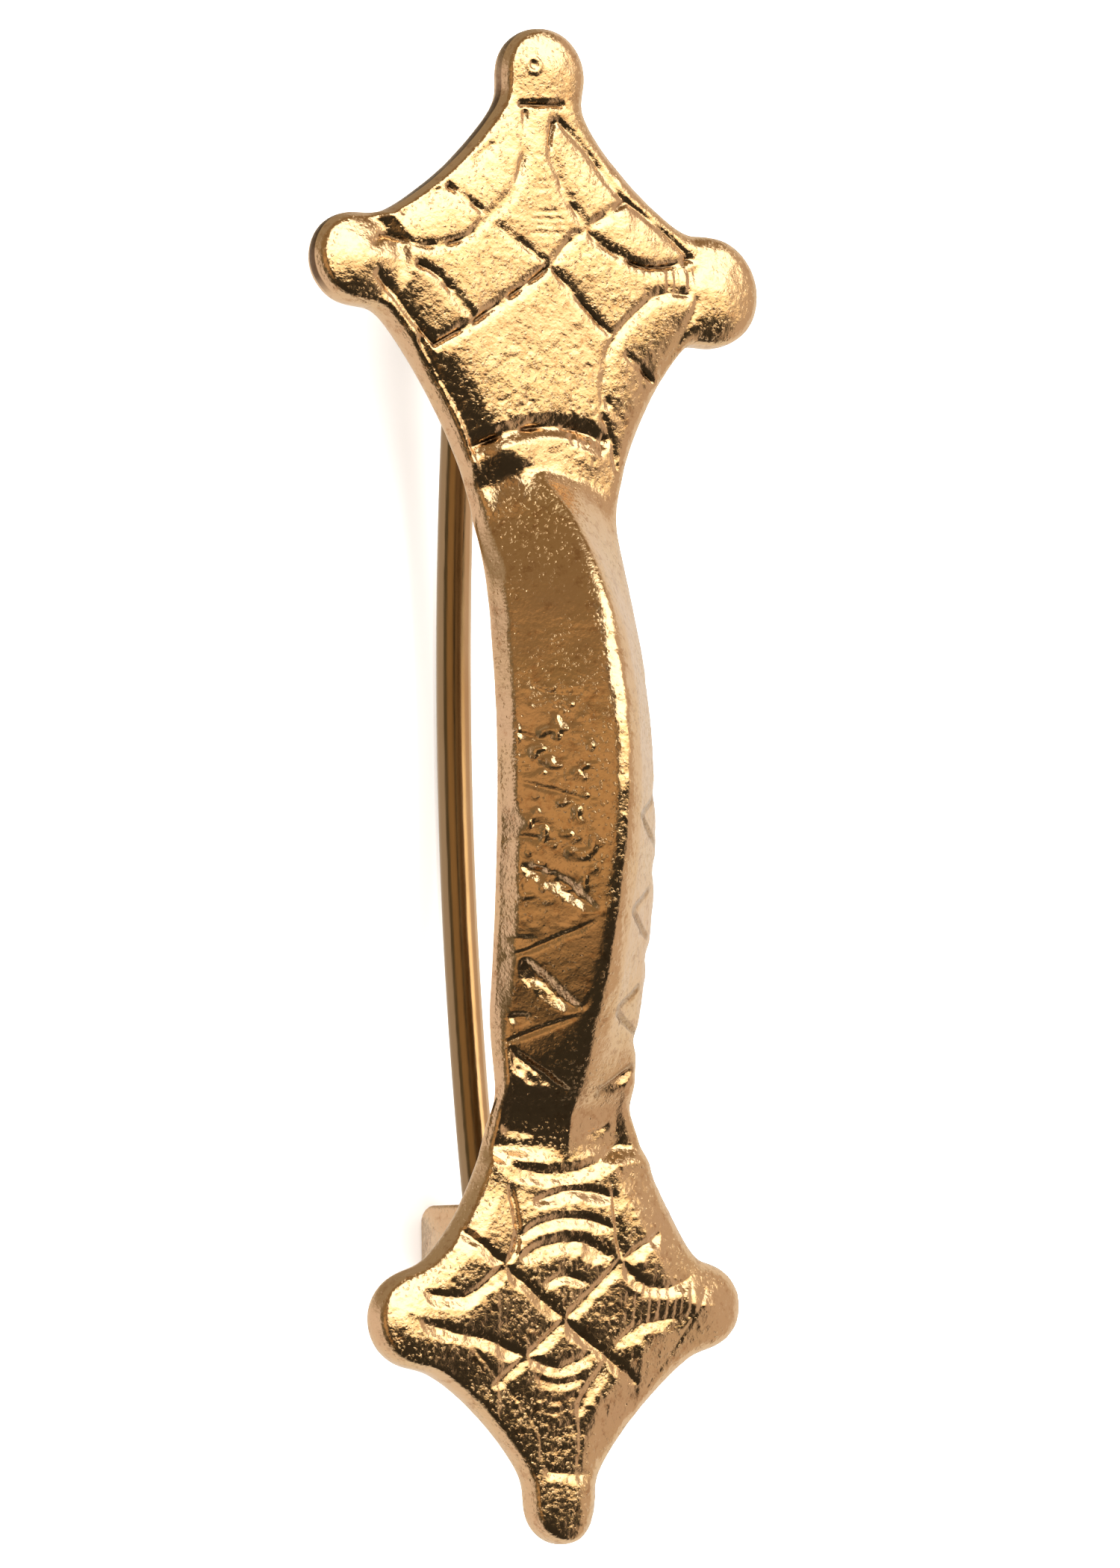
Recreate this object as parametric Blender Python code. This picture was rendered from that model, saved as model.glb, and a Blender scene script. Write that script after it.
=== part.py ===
# Bow fibula with two lozenge plates, cast in bronze, with a brass wire pin on a riveted hinge.
# It lies on its back: +Z is up and out of the carved face, +Y points to the hinge end, +X is to the right.
# The ground that it lies on is z = 0, and x = 0 is the axis of the bow. All sizes are in metres.
import math

import bpy
import numpy as np
from mathutils import Vector, geometry

# Heights of the casting
FACE_HEIGHT = 0.0101
PLATE_THICKNESS = 0.0013
EDGE_ROUND = 0.00075
EDGE_DROP = 0.0004

# Head plate, seen from above
HEAD_SIDE_Y = 0.02190
HEAD_RIGHT_SAG = 0.00025
HEAD_LEFT_X = -0.00910
HEAD_LEFT_RADIUS = 0.00205
HEAD_RIGHT_X = 0.00850
HEAD_RIGHT_RADIUS = 0.00250
HEAD_TIP_X = 0.00020
HEAD_TIP_Y = 0.03065
HEAD_TIP_RADIUS = 0.00210
HEAD_UPPER_HOLLOW = 0.00055
HEAD_LOWER_HOLLOW = 0.00055
HEAD_CROWN = 0.00030
HEAD_CENTRE_RISE = 0.00020
HEAD_LOBE_X = 0.00295
HEAD_LOBE_ABOVE = 0.00185
HEAD_LOBE_BELOW = 0.00265

# Foot plate, seen from above
FOOT_SIDE_Y = -0.02290
FOOT_LEFT_SAG = 0.00025
FOOT_LEFT_X = -0.00700
FOOT_LEFT_RADIUS = 0.00210
FOOT_RIGHT_X = 0.00742
FOOT_RIGHT_RADIUS = 0.00187
FOOT_TIP_Y = -0.03115
FOOT_TIP_RADIUS = 0.00175
FOOT_UPPER_LEFT_HOLLOW = 0.00080
FOOT_UPPER_RIGHT_HOLLOW = 0.00012
FOOT_LOWER_HOLLOW = 0.00045
FOOT_CROWN = 0.00070
FOOT_SHOULDER = 0.00070
FOOT_CENTRE_RISE = -0.00040
FOOT_LOBE_UPPER_X = 0.00290
FOOT_LOBE_ABOVE = 0.00240
FOOT_LOBE_LOWER_X = 0.00170
FOOT_LOBE_BELOW = 0.00155

# Bow: its ridge and its edges are two round arches above the plates' faces
NECK_Y = 0.01150
NECK_HALF_WIDTH = 0.00330
ANKLE_Y = -0.01400
ANKLE_HALF_WIDTH = 0.00322
BOW_SWELL = 0.00050
BOW_SWELL_SHARE = 0.385
BOW_HEAD_END_Y = 0.01330
BOW_FOOT_END_Y = -0.01510
RIDGE_RISE = 0.00575
RIDGE_SOFTNESS = 0.00035
EDGE_RISE = 0.00205
EDGE_ARCH_INSET = 0.00270
BOW_HOLLOW = 0.00110
BOW_EDGE_THICKNESS = 0.00058

# Carving: grooves with a V section
GROOVE_WIDTH = 0.00070
GROOVE_DEPTH = 0.00032
BORDER_INSET = 0.00100
BORDER_DEPTH = 0.00022
NECK_GROOVE_WIDTH = 0.00100
NECK_GROOVE_DEPTH = 0.00055
ZIGZAG_STEP = 0.00410
ZIGZAG_TEETH = 4
ZIGZAG_FOOT_Y = -0.01340
ZIGZAG_INNER = 0.28
ZIGZAG_OUTER = 0.88
ZIGZAG_DEPTH = 0.00045
FOOT_ARCH_STEP = 0.00128
FOOT_ARCH_COUNT = 4

# Pin and hinge
WIRE_RADIUS = 0.000775
PIN_GROUND_GAP = 0.00025
PIN_LOW_Y = 0.00170
PIN_BEND_RADIUS = 0.12000
PIN_TIP_Y = -0.02480
PIN_TAPER = 0.00340
PIN_POINT_RADIUS = 0.00016
RIVET_Y = 0.02380
RIVET_RADIUS = 0.00062
RIVET_HEAD_RADIUS = 0.00100
RIVET_HEAD_HEIGHT = 0.00035
EYE_CLEARANCE = 0.00006
EYE_TURN = math.radians(250)
CHEEK_THICKNESS = 0.00150
CHEEK_LENGTH = 0.00400
CHEEK_CORNER = 0.00080
CHEEK_SIDE_GAP = 0.00015
RIVET_FIT = 0.00004

# Catch: a web under the foot with two prongs that grip the pin
CATCH_NEAR_Y = -0.01830
CATCH_LENGTH = 0.00320
CATCH_HALF_WIDTH = 0.00165
CATCH_WEB_HALF_WIDTH = 0.00110
CATCH_SHOULDER = 0.00240
CATCH_SEAT_CLEARANCE = 0.00008
CATCH_MOUTH_BITE = 0.00005
CATCH_CORNER = 0.00110

# How finely the round shapes are cut
OUTLINE_STEP = 0.00062
FIELD_STEP = 0.00105
GROOVE_STEP = 0.00100
WIRE_SIDES = 12
WIRE_STEP = 0.00170
ROUND_SIDES = 24
SEAM = 0.00040


def arc(start, end, bulge, step):
    # Points along a shallow curve that bulges to the left of the way from start to end.
    start = np.array(start, float)
    end = np.array(end, float)
    chord = end - start
    length = np.hypot(*chord)
    count = max(2, int(round(length / step)))
    share = np.linspace(0.0, 1.0, count + 1)
    left = np.array((-chord[1], chord[0])) / length
    rise = 4.0 * bulge * share * (1.0 - share)
    return start + share[:, None] * chord + rise[:, None] * left


def knob(x, y, radius, first, last):
    # Points round a knob, anticlockwise between two angles in degrees.
    count = max(4, int(round(radius * math.radians(last - first) / OUTLINE_STEP)))
    angles = np.radians(np.linspace(first, last, count + 1))
    return np.column_stack((x + radius * np.cos(angles), y + radius * np.sin(angles)))


def evenly(points, step, closed=False):
    # The same line with its points an even step apart.
    points = np.array(points)
    if closed:
        points = np.vstack((points, points[:1]))
    lengths = np.hypot(*np.diff(points, axis=0).T)
    travel = np.concatenate(([0.0], np.cumsum(lengths)))
    count = max(2, int(round(travel[-1] / step)))
    stops = np.linspace(0.0, travel[-1], count + 1)
    line = np.column_stack([np.interp(stops, travel, points[:, k]) for k in (0, 1)])
    return line[:-1] if closed else line


def softened(loop, passes):
    # Rounds the inner corners where knobs and edges meet.
    for _ in range(passes):
        loop = 0.25 * np.roll(loop, 1, axis=0) + 0.5 * loop + 0.25 * np.roll(loop, -1, axis=0)
    return loop


def corner_knobs():
    # Every knob's arc, anticlockwise round the whole brooch from the head's right.
    return {
        "head_right": knob(HEAD_RIGHT_X, HEAD_SIDE_Y - HEAD_RIGHT_SAG, HEAD_RIGHT_RADIUS, -118, 116),
        "head_tip": knob(HEAD_TIP_X, HEAD_TIP_Y, HEAD_TIP_RADIUS, -40, 208),
        "head_left": knob(HEAD_LEFT_X, HEAD_SIDE_Y, HEAD_LEFT_RADIUS, 62, 296),
        "foot_left": knob(FOOT_LEFT_X, FOOT_SIDE_Y - FOOT_LEFT_SAG, FOOT_LEFT_RADIUS, 82, 282),
        "foot_tip": knob(0.0, FOOT_TIP_Y, FOOT_TIP_RADIUS, 152, 388),
        "foot_right": knob(FOOT_RIGHT_X, FOOT_SIDE_Y, FOOT_RIGHT_RADIUS, -102, 104),
    }


def plate_edges(knobs):
    # The eight hollow edges between knobs, neck and ankle, anticlockwise, each named by its side.
    neck = np.array((NECK_HALF_WIDTH, NECK_Y))
    ankle = np.array((ANKLE_HALF_WIDTH, ANKLE_Y))
    mirror = np.array((-1.0, 1.0))
    return {
        "head_lower_right": (neck, knobs["head_right"][0], HEAD_LOWER_HOLLOW),
        "head_upper_right": (knobs["head_right"][-1], knobs["head_tip"][0], HEAD_UPPER_HOLLOW),
        "head_upper_left": (knobs["head_tip"][-1], knobs["head_left"][0], HEAD_UPPER_HOLLOW),
        "head_lower_left": (knobs["head_left"][-1], neck * mirror, HEAD_LOWER_HOLLOW),
        "foot_upper_left": (ankle * mirror, knobs["foot_left"][0], FOOT_UPPER_LEFT_HOLLOW),
        "foot_lower_left": (knobs["foot_left"][-1], knobs["foot_tip"][0], FOOT_LOWER_HOLLOW),
        "foot_lower_right": (knobs["foot_tip"][-1], knobs["foot_right"][0], FOOT_LOWER_HOLLOW),
        "foot_upper_right": (knobs["foot_right"][-1], ankle, FOOT_UPPER_RIGHT_HOLLOW),
    }


def brooch_outline():
    # The whole outline seen from above, anticlockwise, from the right of the neck.
    knobs = corner_knobs()
    edges = {name: arc(*ends, OUTLINE_STEP) for name, ends in plate_edges(knobs).items()}
    bow_y = np.arange(ANKLE_Y, NECK_Y + 0.5 * OUTLINE_STEP, OUTLINE_STEP)
    bow_right = np.column_stack((half_width(bow_y), bow_y))
    bow_left = bow_right[::-1] * (-1.0, 1.0)
    order = [
        edges["head_lower_right"], knobs["head_right"], edges["head_upper_right"], knobs["head_tip"],
        edges["head_upper_left"], knobs["head_left"], edges["head_lower_left"], bow_left,
        edges["foot_upper_left"], knobs["foot_left"], edges["foot_lower_left"], knobs["foot_tip"],
        edges["foot_lower_right"], knobs["foot_right"], edges["foot_upper_right"], bow_right,
    ]
    loop = np.vstack([line[:-1] for line in order])
    return softened(evenly(loop, OUTLINE_STEP, closed=True), 2)


def inset(loop, distance):
    # The loop moved inwards by the same distance everywhere.
    ahead = np.roll(loop, -1, axis=0) - np.roll(loop, 1, axis=0)
    inward = np.column_stack((-ahead[:, 1], ahead[:, 0]))
    return loop + distance * inward / np.hypot(*inward.T)[:, None]


def distance_to(points, line, closed=False):
    # How far each point is from a line of short straight stretches.
    starts = line if closed else line[:-1]
    ends = np.roll(line, -1, axis=0) if closed else line[1:]
    way = ends - starts
    nearest = np.full(len(points), np.inf)
    for start, step in zip(starts, way):
        offset = points - start
        share = np.clip(offset @ step / (step @ step), 0.0, 1.0)
        nearest = np.minimum(nearest, np.hypot(*(offset - share[:, None] * step).T))
    return nearest


def soft_max(a, b, softness):
    return 0.5 * (a + b + np.sqrt((a - b) ** 2 + softness ** 2))


def soft_step(value, low, high):
    share = np.clip((value - low) / (high - low), 0.0, 1.0)
    return share * share * (3.0 - 2.0 * share)


def arch(y, low, high, rise):
    # Height of a round arch that stands on y = low and y = high, negative beyond them.
    half = 0.5 * (high - low)
    radius = (half ** 2 + rise ** 2) / (2.0 * rise)
    along = y - 0.5 * (high + low)
    return rise - radius + np.sqrt(np.maximum(radius ** 2 - along ** 2, 0.04 * radius ** 2))


def lift(y):
    # How far the bow's edges, and its underside with them, rise over the plates.
    bare = arch(y, BOW_FOOT_END_Y + EDGE_ARCH_INSET, BOW_HEAD_END_Y - EDGE_ARCH_INSET, EDGE_RISE)
    shoulder = FOOT_SHOULDER * soft_step(y, BOW_FOOT_END_Y - ANKLE_HALF_WIDTH, BOW_FOOT_END_Y)
    shoulder *= soft_step(-y, 0.0, -ANKLE_Y)
    return soft_max(bare, shoulder, 0.5 * EDGE_DROP) - 0.02 * EDGE_DROP


def half_width(y):
    # The bow's half width, swollen most at BOW_SWELL_SHARE of the way from the ankle to the neck.
    share = np.clip((y - ANKLE_Y) / (NECK_Y - ANKLE_Y), 0.0, 1.0)
    straight = ANKLE_HALF_WIDTH + share * (NECK_HALF_WIDTH - ANKLE_HALF_WIDTH)
    fall = 1.0 / BOW_SWELL_SHARE - 1.0
    swell = (share / BOW_SWELL_SHARE) * ((1.0 - share) / (1.0 - BOW_SWELL_SHARE)) ** fall
    return straight + BOW_SWELL * swell


def crown(y):
    # Height of the plates' domed middle over their edges.
    head = HEAD_CROWN * soft_step(y, NECK_Y, NECK_Y + HEAD_TIP_RADIUS)
    tail = soft_step(y, FOOT_TIP_Y, BOW_FOOT_END_Y - FOOT_TIP_RADIUS)
    foot = FOOT_CROWN * (0.2 + 1.1 * tail) * soft_step(-y, -ANKLE_Y - FOOT_TIP_RADIUS, -ANKLE_Y)
    return head + foot


def groove_lines():
    # Every carved line: its points, its width and its depth.
    lines = []

    def carve(points, width=GROOVE_WIDTH, depth=GROOVE_DEPTH):
        lines.append((np.array(points), width, depth))

    def plate_lines(centre_y, upper, lower, left_end, right_end, tip_end, neck_end):
        # The four lobes of one plate, the cross in its middle and the short lines to its edges.
        centre = np.array((0.0, centre_y))
        for side in (-1.0, 1.0):
            side_end = left_end if side < 0 else right_end
            flip = np.array((side, 1.0))
            above = np.array(upper) * flip
            below = np.array(lower) * flip
            for cusp, end, way in (
                (above, tip_end * flip, -side),
                (above, side_end + (0.0, 0.5 * GROOVE_WIDTH), side),
                (below, side_end - (0.0, 0.5 * GROOVE_WIDTH), -side),
                (below, neck_end * flip, side),
            ):
                carve(arc(end, cusp, way * 0.14 * np.hypot(*(end - cusp)), GROOVE_STEP))
            for cusp in (above, below):
                carve(arc(centre, cusp, 0.0, GROOVE_STEP))
                outward = np.array((side, np.sign(cusp[1] - centre_y) * 0.65))
                outward *= 3.0 * GROOVE_WIDTH / np.hypot(*outward)
                carve(arc(cusp, cusp + outward, 0.0, GROOVE_STEP))

    head_y = HEAD_SIDE_Y + HEAD_CENTRE_RISE
    plate_lines(
        head_y, (HEAD_LOBE_X, head_y + HEAD_LOBE_ABOVE), (HEAD_LOBE_X, head_y - HEAD_LOBE_BELOW),
        np.array((HEAD_LEFT_X + 0.6 * HEAD_LEFT_RADIUS, HEAD_SIDE_Y)),
        np.array((HEAD_RIGHT_X - 0.8 * HEAD_RIGHT_RADIUS, HEAD_SIDE_Y)),
        np.array((0.4 * HEAD_TIP_RADIUS, HEAD_TIP_Y - 1.1 * HEAD_TIP_RADIUS)),
        np.array((0.8 * NECK_HALF_WIDTH, NECK_Y + NECK_HALF_WIDTH)),
    )
    foot_y = FOOT_SIDE_Y + FOOT_CENTRE_RISE
    upper = (FOOT_LOBE_UPPER_X, foot_y + FOOT_LOBE_ABOVE)
    lower = (FOOT_LOBE_LOWER_X, foot_y - FOOT_LOBE_BELOW)
    plate_lines(
        foot_y, upper, lower,
        np.array((FOOT_LEFT_X + 0.6 * FOOT_LEFT_RADIUS, FOOT_SIDE_Y)),
        np.array((FOOT_RIGHT_X - 0.6 * FOOT_RIGHT_RADIUS, FOOT_SIDE_Y)),
        np.array((0.8 * ANKLE_HALF_WIDTH, ANKLE_Y - ANKLE_HALF_WIDTH)),
        np.array((0.45 * FOOT_TIP_RADIUS, FOOT_TIP_Y + 1.2 * FOOT_TIP_RADIUS)),
    )

    # Short lines across the arms, at the knobs.
    tip_y = HEAD_TIP_Y - 0.7 * HEAD_TIP_RADIUS
    carve(arc((-0.5 * HEAD_TIP_RADIUS, tip_y), (0.45 * HEAD_TIP_RADIUS, tip_y), 0.0, GROOVE_STEP))
    tip_y = FOOT_TIP_Y + 0.55 * FOOT_TIP_RADIUS
    carve(arc((-0.7 * FOOT_TIP_RADIUS, tip_y), (0.7 * FOOT_TIP_RADIUS, tip_y), 0.0, GROOVE_STEP))

    # A border inside the plates' hollow edges, which stops short of the knobs.
    for start, end, hollow in plate_edges(corner_knobs()).values():
        edge = arc(start, end, hollow, GROOVE_STEP)
        ahead = np.gradient(edge, axis=0)
        inward = np.column_stack((-ahead[:, 1], ahead[:, 0]))
        border = edge + BORDER_INSET * inward / np.hypot(*inward.T)[:, None]
        carve(border[1:-1], GROOVE_WIDTH, BORDER_DEPTH)

    # The deep groove over the neck, and the arched grooves that step down the foot's upper arm.
    neck_y = NECK_Y + 0.85 * NECK_HALF_WIDTH
    reach = 0.85 * NECK_HALF_WIDTH
    neck = arc((reach, neck_y), (-reach, neck_y), -NECK_GROOVE_WIDTH, GROOVE_STEP)
    carve(neck, NECK_GROOVE_WIDTH, NECK_GROOVE_DEPTH)
    reach = 0.9 * ANKLE_HALF_WIDTH
    ankle_y = BOW_FOOT_END_Y - 0.5 * ANKLE_HALF_WIDTH
    carve(arc((-reach, ankle_y), (reach, ankle_y), -0.5 * GROOVE_WIDTH, GROOVE_STEP))
    for k in range(FOOT_ARCH_COUNT):
        y = ankle_y - 0.5 * GROOVE_WIDTH - (k + 1) * FOOT_ARCH_STEP
        reach = (0.75 - 0.13 * max(0, k - 1)) * ANKLE_HALF_WIDTH
        carve(arc((reach, y), (-reach, y), -0.9 * GROOVE_WIDTH, GROOVE_STEP), GROOVE_WIDTH, GROOVE_DEPTH)

    # Zigzags down both faces of the bow.
    for side in (-1.0, 1.0):
        corners = []
        for k in range(2 * ZIGZAG_TEETH + 1):
            y = ZIGZAG_FOOT_Y + 0.5 * k * ZIGZAG_STEP
            share = ZIGZAG_OUTER if k % 2 else ZIGZAG_INNER
            corners.append((side * share * float(half_width(y)), y))
        for start, end in zip(corners[:-1], corners[1:]):
            carve(arc(start, end, 0.0, GROOVE_STEP), GROOVE_WIDTH, ZIGZAG_DEPTH)
    return lines


def face_height(points, outline, lines):
    # Height of the carved face over the ground, at points seen from above.
    x, y = points.T
    edge_distance = distance_to(points, outline, closed=True)
    across = np.sqrt(x ** 2 + RIDGE_SOFTNESS ** 2) - RIDGE_SOFTNESS
    ridge = arch(y, BOW_FOOT_END_Y, BOW_HEAD_END_Y, RIDGE_RISE)
    low = lift(y)
    share = 1.0 - np.clip(across / half_width(y), 0.0, 1.0)
    roof = low - RIDGE_SOFTNESS + (ridge - low + RIDGE_SOFTNESS) * share
    dome = 1.0 - (1.0 - np.clip(edge_distance / ANKLE_HALF_WIDTH, 0.0, 1.0)) ** 2
    height = soft_max(low + crown(y) * dome, roof, RIDGE_SOFTNESS)
    height -= EDGE_DROP * (1.0 - np.clip(edge_distance / EDGE_ROUND, 0.0, 1.0)) ** 2
    depth = np.zeros(len(points))
    for line, width, deep in lines:
        depth = np.maximum(depth, deep * (1.0 - 2.0 * distance_to(points, line) / width))
    return FACE_HEIGHT + height - depth


def back_height(points, outline):
    # Height of the plain back: flat under the plates, hollow under the bow.
    y = points[:, 1]
    edge_distance = distance_to(points, outline, closed=True)
    inner = 1.0 - (1.0 - np.clip(edge_distance / ANKLE_HALF_WIDTH, 0.0, 1.0)) ** 2
    bow = soft_step(y, ANKLE_Y, ANKLE_Y + ANKLE_HALF_WIDTH) * soft_step(-y, -NECK_Y, NECK_HALF_WIDTH - NECK_Y)
    narrow = soft_step(y, BOW_FOOT_END_Y, ANKLE_Y) * soft_step(-y, -NECK_Y, 0.5 * NECK_HALF_WIDTH - NECK_Y)
    thickness = PLATE_THICKNESS + (BOW_EDGE_THICKNESS - PLATE_THICKNESS) * narrow
    return FACE_HEIGHT - thickness + lift(y) + BOW_HOLLOW * bow * inner


def field_points(outline, step, margin, keep_off):
    # Points in rows that fill the outline, clear of its rim and of the carved lines.
    low = outline.min(axis=0)
    high = outline.max(axis=0)
    rows = np.arange(low[1], high[1], step * math.sqrt(0.75))
    grid = np.vstack([
        np.column_stack((xs, np.full(len(xs), y)))
        for k, y in enumerate(rows)
        for xs in [np.arange(low[0] + 0.5 * step * (k % 2), high[0], step)]
    ])
    inside = np.zeros(len(grid), bool)
    for a, b in zip(outline, np.roll(outline, -1, axis=0)):
        crosses = (a[1] > grid[:, 1]) != (b[1] > grid[:, 1])
        rise = b[1] - a[1] if b[1] != a[1] else 1.0
        reach = a[0] + (grid[:, 1] - a[1]) * (b[0] - a[0]) / rise
        inside ^= crosses & (grid[:, 0] < reach)
    grid = grid[inside]
    grid = grid[distance_to(grid, outline, closed=True) > margin]
    for line, width in keep_off:
        grid = grid[distance_to(grid, line) > 0.5 * width + 0.35 * step]
    return grid


def triangulated(outline, rings, lines, fields):
    # Triangles inside the outline that keep to its rings and to the carved lines.
    points = [outline]
    edges = []
    total = len(outline)
    for line, closed in [(ring, True) for ring in rings] + [(line, False) for line in lines]:
        edges += [(total + k, total + k + 1) for k in range(len(line) - 1)]
        if closed:
            edges.append((total + len(line) - 1, total))
        points.append(line)
        total += len(line)
    points.append(fields)
    millimetres = [Vector(p) * 1000.0 for p in np.vstack(points)]
    rim = list(range(len(outline)))
    result = geometry.delaunay_2d_cdt(millimetres, edges, [rim], 1, 1e-4)
    verts, faces, origins = result[0], result[2], result[3]
    order = {}
    for index, sources in enumerate(origins):
        for source in sources:
            if source < len(outline):
                order[source] = index
    return np.array([tuple(v) for v in verts]) / 1000.0, faces, [order[k] for k in rim]


def groove_sides(lines):
    # Each carved line with its two borders, as lines for the triangles to keep to.
    kept = []
    for line, width, _ in lines:
        ahead = np.gradient(line, axis=0)
        left = np.column_stack((-ahead[:, 1], ahead[:, 0]))
        left /= np.hypot(*left.T)[:, None]
        kept += [line, line + 0.5 * width * left, line - 0.5 * width * left]
    return kept


def new_object(name, verts, faces, material, smooth_angle=None):
    mesh = bpy.data.meshes.new(name)
    mesh.from_pydata([tuple(v) for v in verts], [], [tuple(f) for f in faces])
    mesh.validate()
    obj = bpy.data.objects.new(name, mesh)
    bpy.context.collection.objects.link(obj)
    if material:
        mesh.materials.append(material)
    if smooth_angle:
        mesh.shade_smooth()
        mesh.set_sharp_from_angle(angle=smooth_angle)
    return obj


def metal(name, colour, roughness):
    material = bpy.data.materials.new(name)
    material.use_nodes = True
    shader = material.node_tree.nodes["Principled BSDF"]
    shader.inputs["Base Color"].default_value = (*colour, 1.0)
    shader.inputs["Metallic"].default_value = 1.0
    shader.inputs["Roughness"].default_value = roughness
    return material


def casting(material):
    # The carved face and the plain back, joined round the outline.
    outline = brooch_outline()
    lines = groove_lines()
    rings = [inset(outline, 0.4 * EDGE_ROUND), inset(outline, EDGE_ROUND)]
    ridge = arc((0.0, BOW_FOOT_END_Y), (0.0, BOW_HEAD_END_Y), 0.0, FIELD_STEP)
    keep_off = [(line, width) for line, width, _ in lines] + [(ridge, 0.0)]
    fields = field_points(outline, FIELD_STEP, EDGE_ROUND + 0.4 * FIELD_STEP, keep_off)
    face, face_triangles, face_rim = triangulated(outline, rings, groove_sides(lines) + [ridge], fields)
    back_fields = field_points(outline, 2.0 * FIELD_STEP, FIELD_STEP, [])
    back, back_triangles, back_rim = triangulated(outline, [], [], back_fields)

    top = np.column_stack((face, face_height(face, outline, lines)))
    bottom = np.column_stack((back, back_height(back, outline)))
    shift = len(top)
    faces = [list(t) for t in face_triangles]
    faces += [[shift + k for k in reversed(t)] for t in back_triangles]
    count = len(outline)
    for k in range(count):
        a, b = face_rim[k], face_rim[(k + 1) % count]
        c, d = shift + back_rim[(k + 1) % count], shift + back_rim[k]
        faces += [[a, d, c], [a, c, b]]
    return new_object("brooch", np.vstack((top, bottom)), faces, material, math.radians(40))


def prism(name, profile, axis, low, high, material):
    # A closed solid with the given side profile, drawn out along x or y.
    profile = np.array(profile)
    count = len(profile)
    if axis == "x":
        ends = [np.column_stack((np.full(count, v), profile)) for v in (low, high)]
    else:
        ends = [np.column_stack((profile[:, 0], np.full(count, v), profile[:, 1])) for v in (low, high)]
    faces = [list(range(count)), [count + k for k in reversed(range(count))]]
    faces += [[k, count + k, count + (k + 1) % count, (k + 1) % count] for k in range(count)]
    obj = new_object(name, np.vstack(ends), faces, material)
    obj.data.flip_normals()
    area = 0.5 * sum(
        p[0] * q[1] - q[0] * p[1] for p, q in zip(profile, np.roll(profile, -1, axis=0)))
    if (area > 0) == (axis == "y"):
        obj.data.flip_normals()
    return obj


def joined(target, tool, operation):
    # Adds the tool to the target, or cuts it out, and hides the tool.
    modifier = target.modifiers.new(tool.name, "BOOLEAN")
    modifier.operation = operation
    modifier.solver = "EXACT"
    modifier.object = tool
    tool.hide_render = True
    tool.display_type = "WIRE"


def round_corner(corner, radius, first, last):
    angles = np.radians(np.linspace(first, last, 5))
    return [(corner[0] + radius * math.cos(a), corner[1] + radius * math.sin(a)) for a in angles]


def hinge_cheeks(body):
    # Two cheeks under the head with a bore for the rivet, standing on the ground.
    near = RIVET_Y - 0.5 * CHEEK_LENGTH
    far = RIVET_Y + 0.5 * CHEEK_LENGTH
    top = FACE_HEIGHT - PLATE_THICKNESS + SEAM
    profile = [(far, top), (near, top)]
    profile += round_corner((near + CHEEK_CORNER, CHEEK_CORNER), CHEEK_CORNER, 180, 270)
    profile += round_corner((far - CHEEK_CORNER, CHEEK_CORNER), CHEEK_CORNER, 270, 360)
    inner = WIRE_RADIUS + CHEEK_SIDE_GAP
    outer = inner + CHEEK_THICKNESS
    for name, low, high in (("cheek_left", -outer, -inner), ("cheek_right", inner, outer)):
        joined(body, prism(name, profile, "x", low, high, None), "UNION")
    bore = round_profile((RIVET_Y, rivet_height()), RIVET_RADIUS + RIVET_FIT)
    joined(body, prism("rivet_bore", bore, "x", -outer - SEAM, outer + SEAM, None), "DIFFERENCE")


def round_profile(centre, radius):
    angles = np.linspace(0.0, 2.0 * math.pi, ROUND_SIDES, endpoint=False)
    return [(centre[0] + radius * math.cos(a), centre[1] + radius * math.sin(a)) for a in angles]


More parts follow.
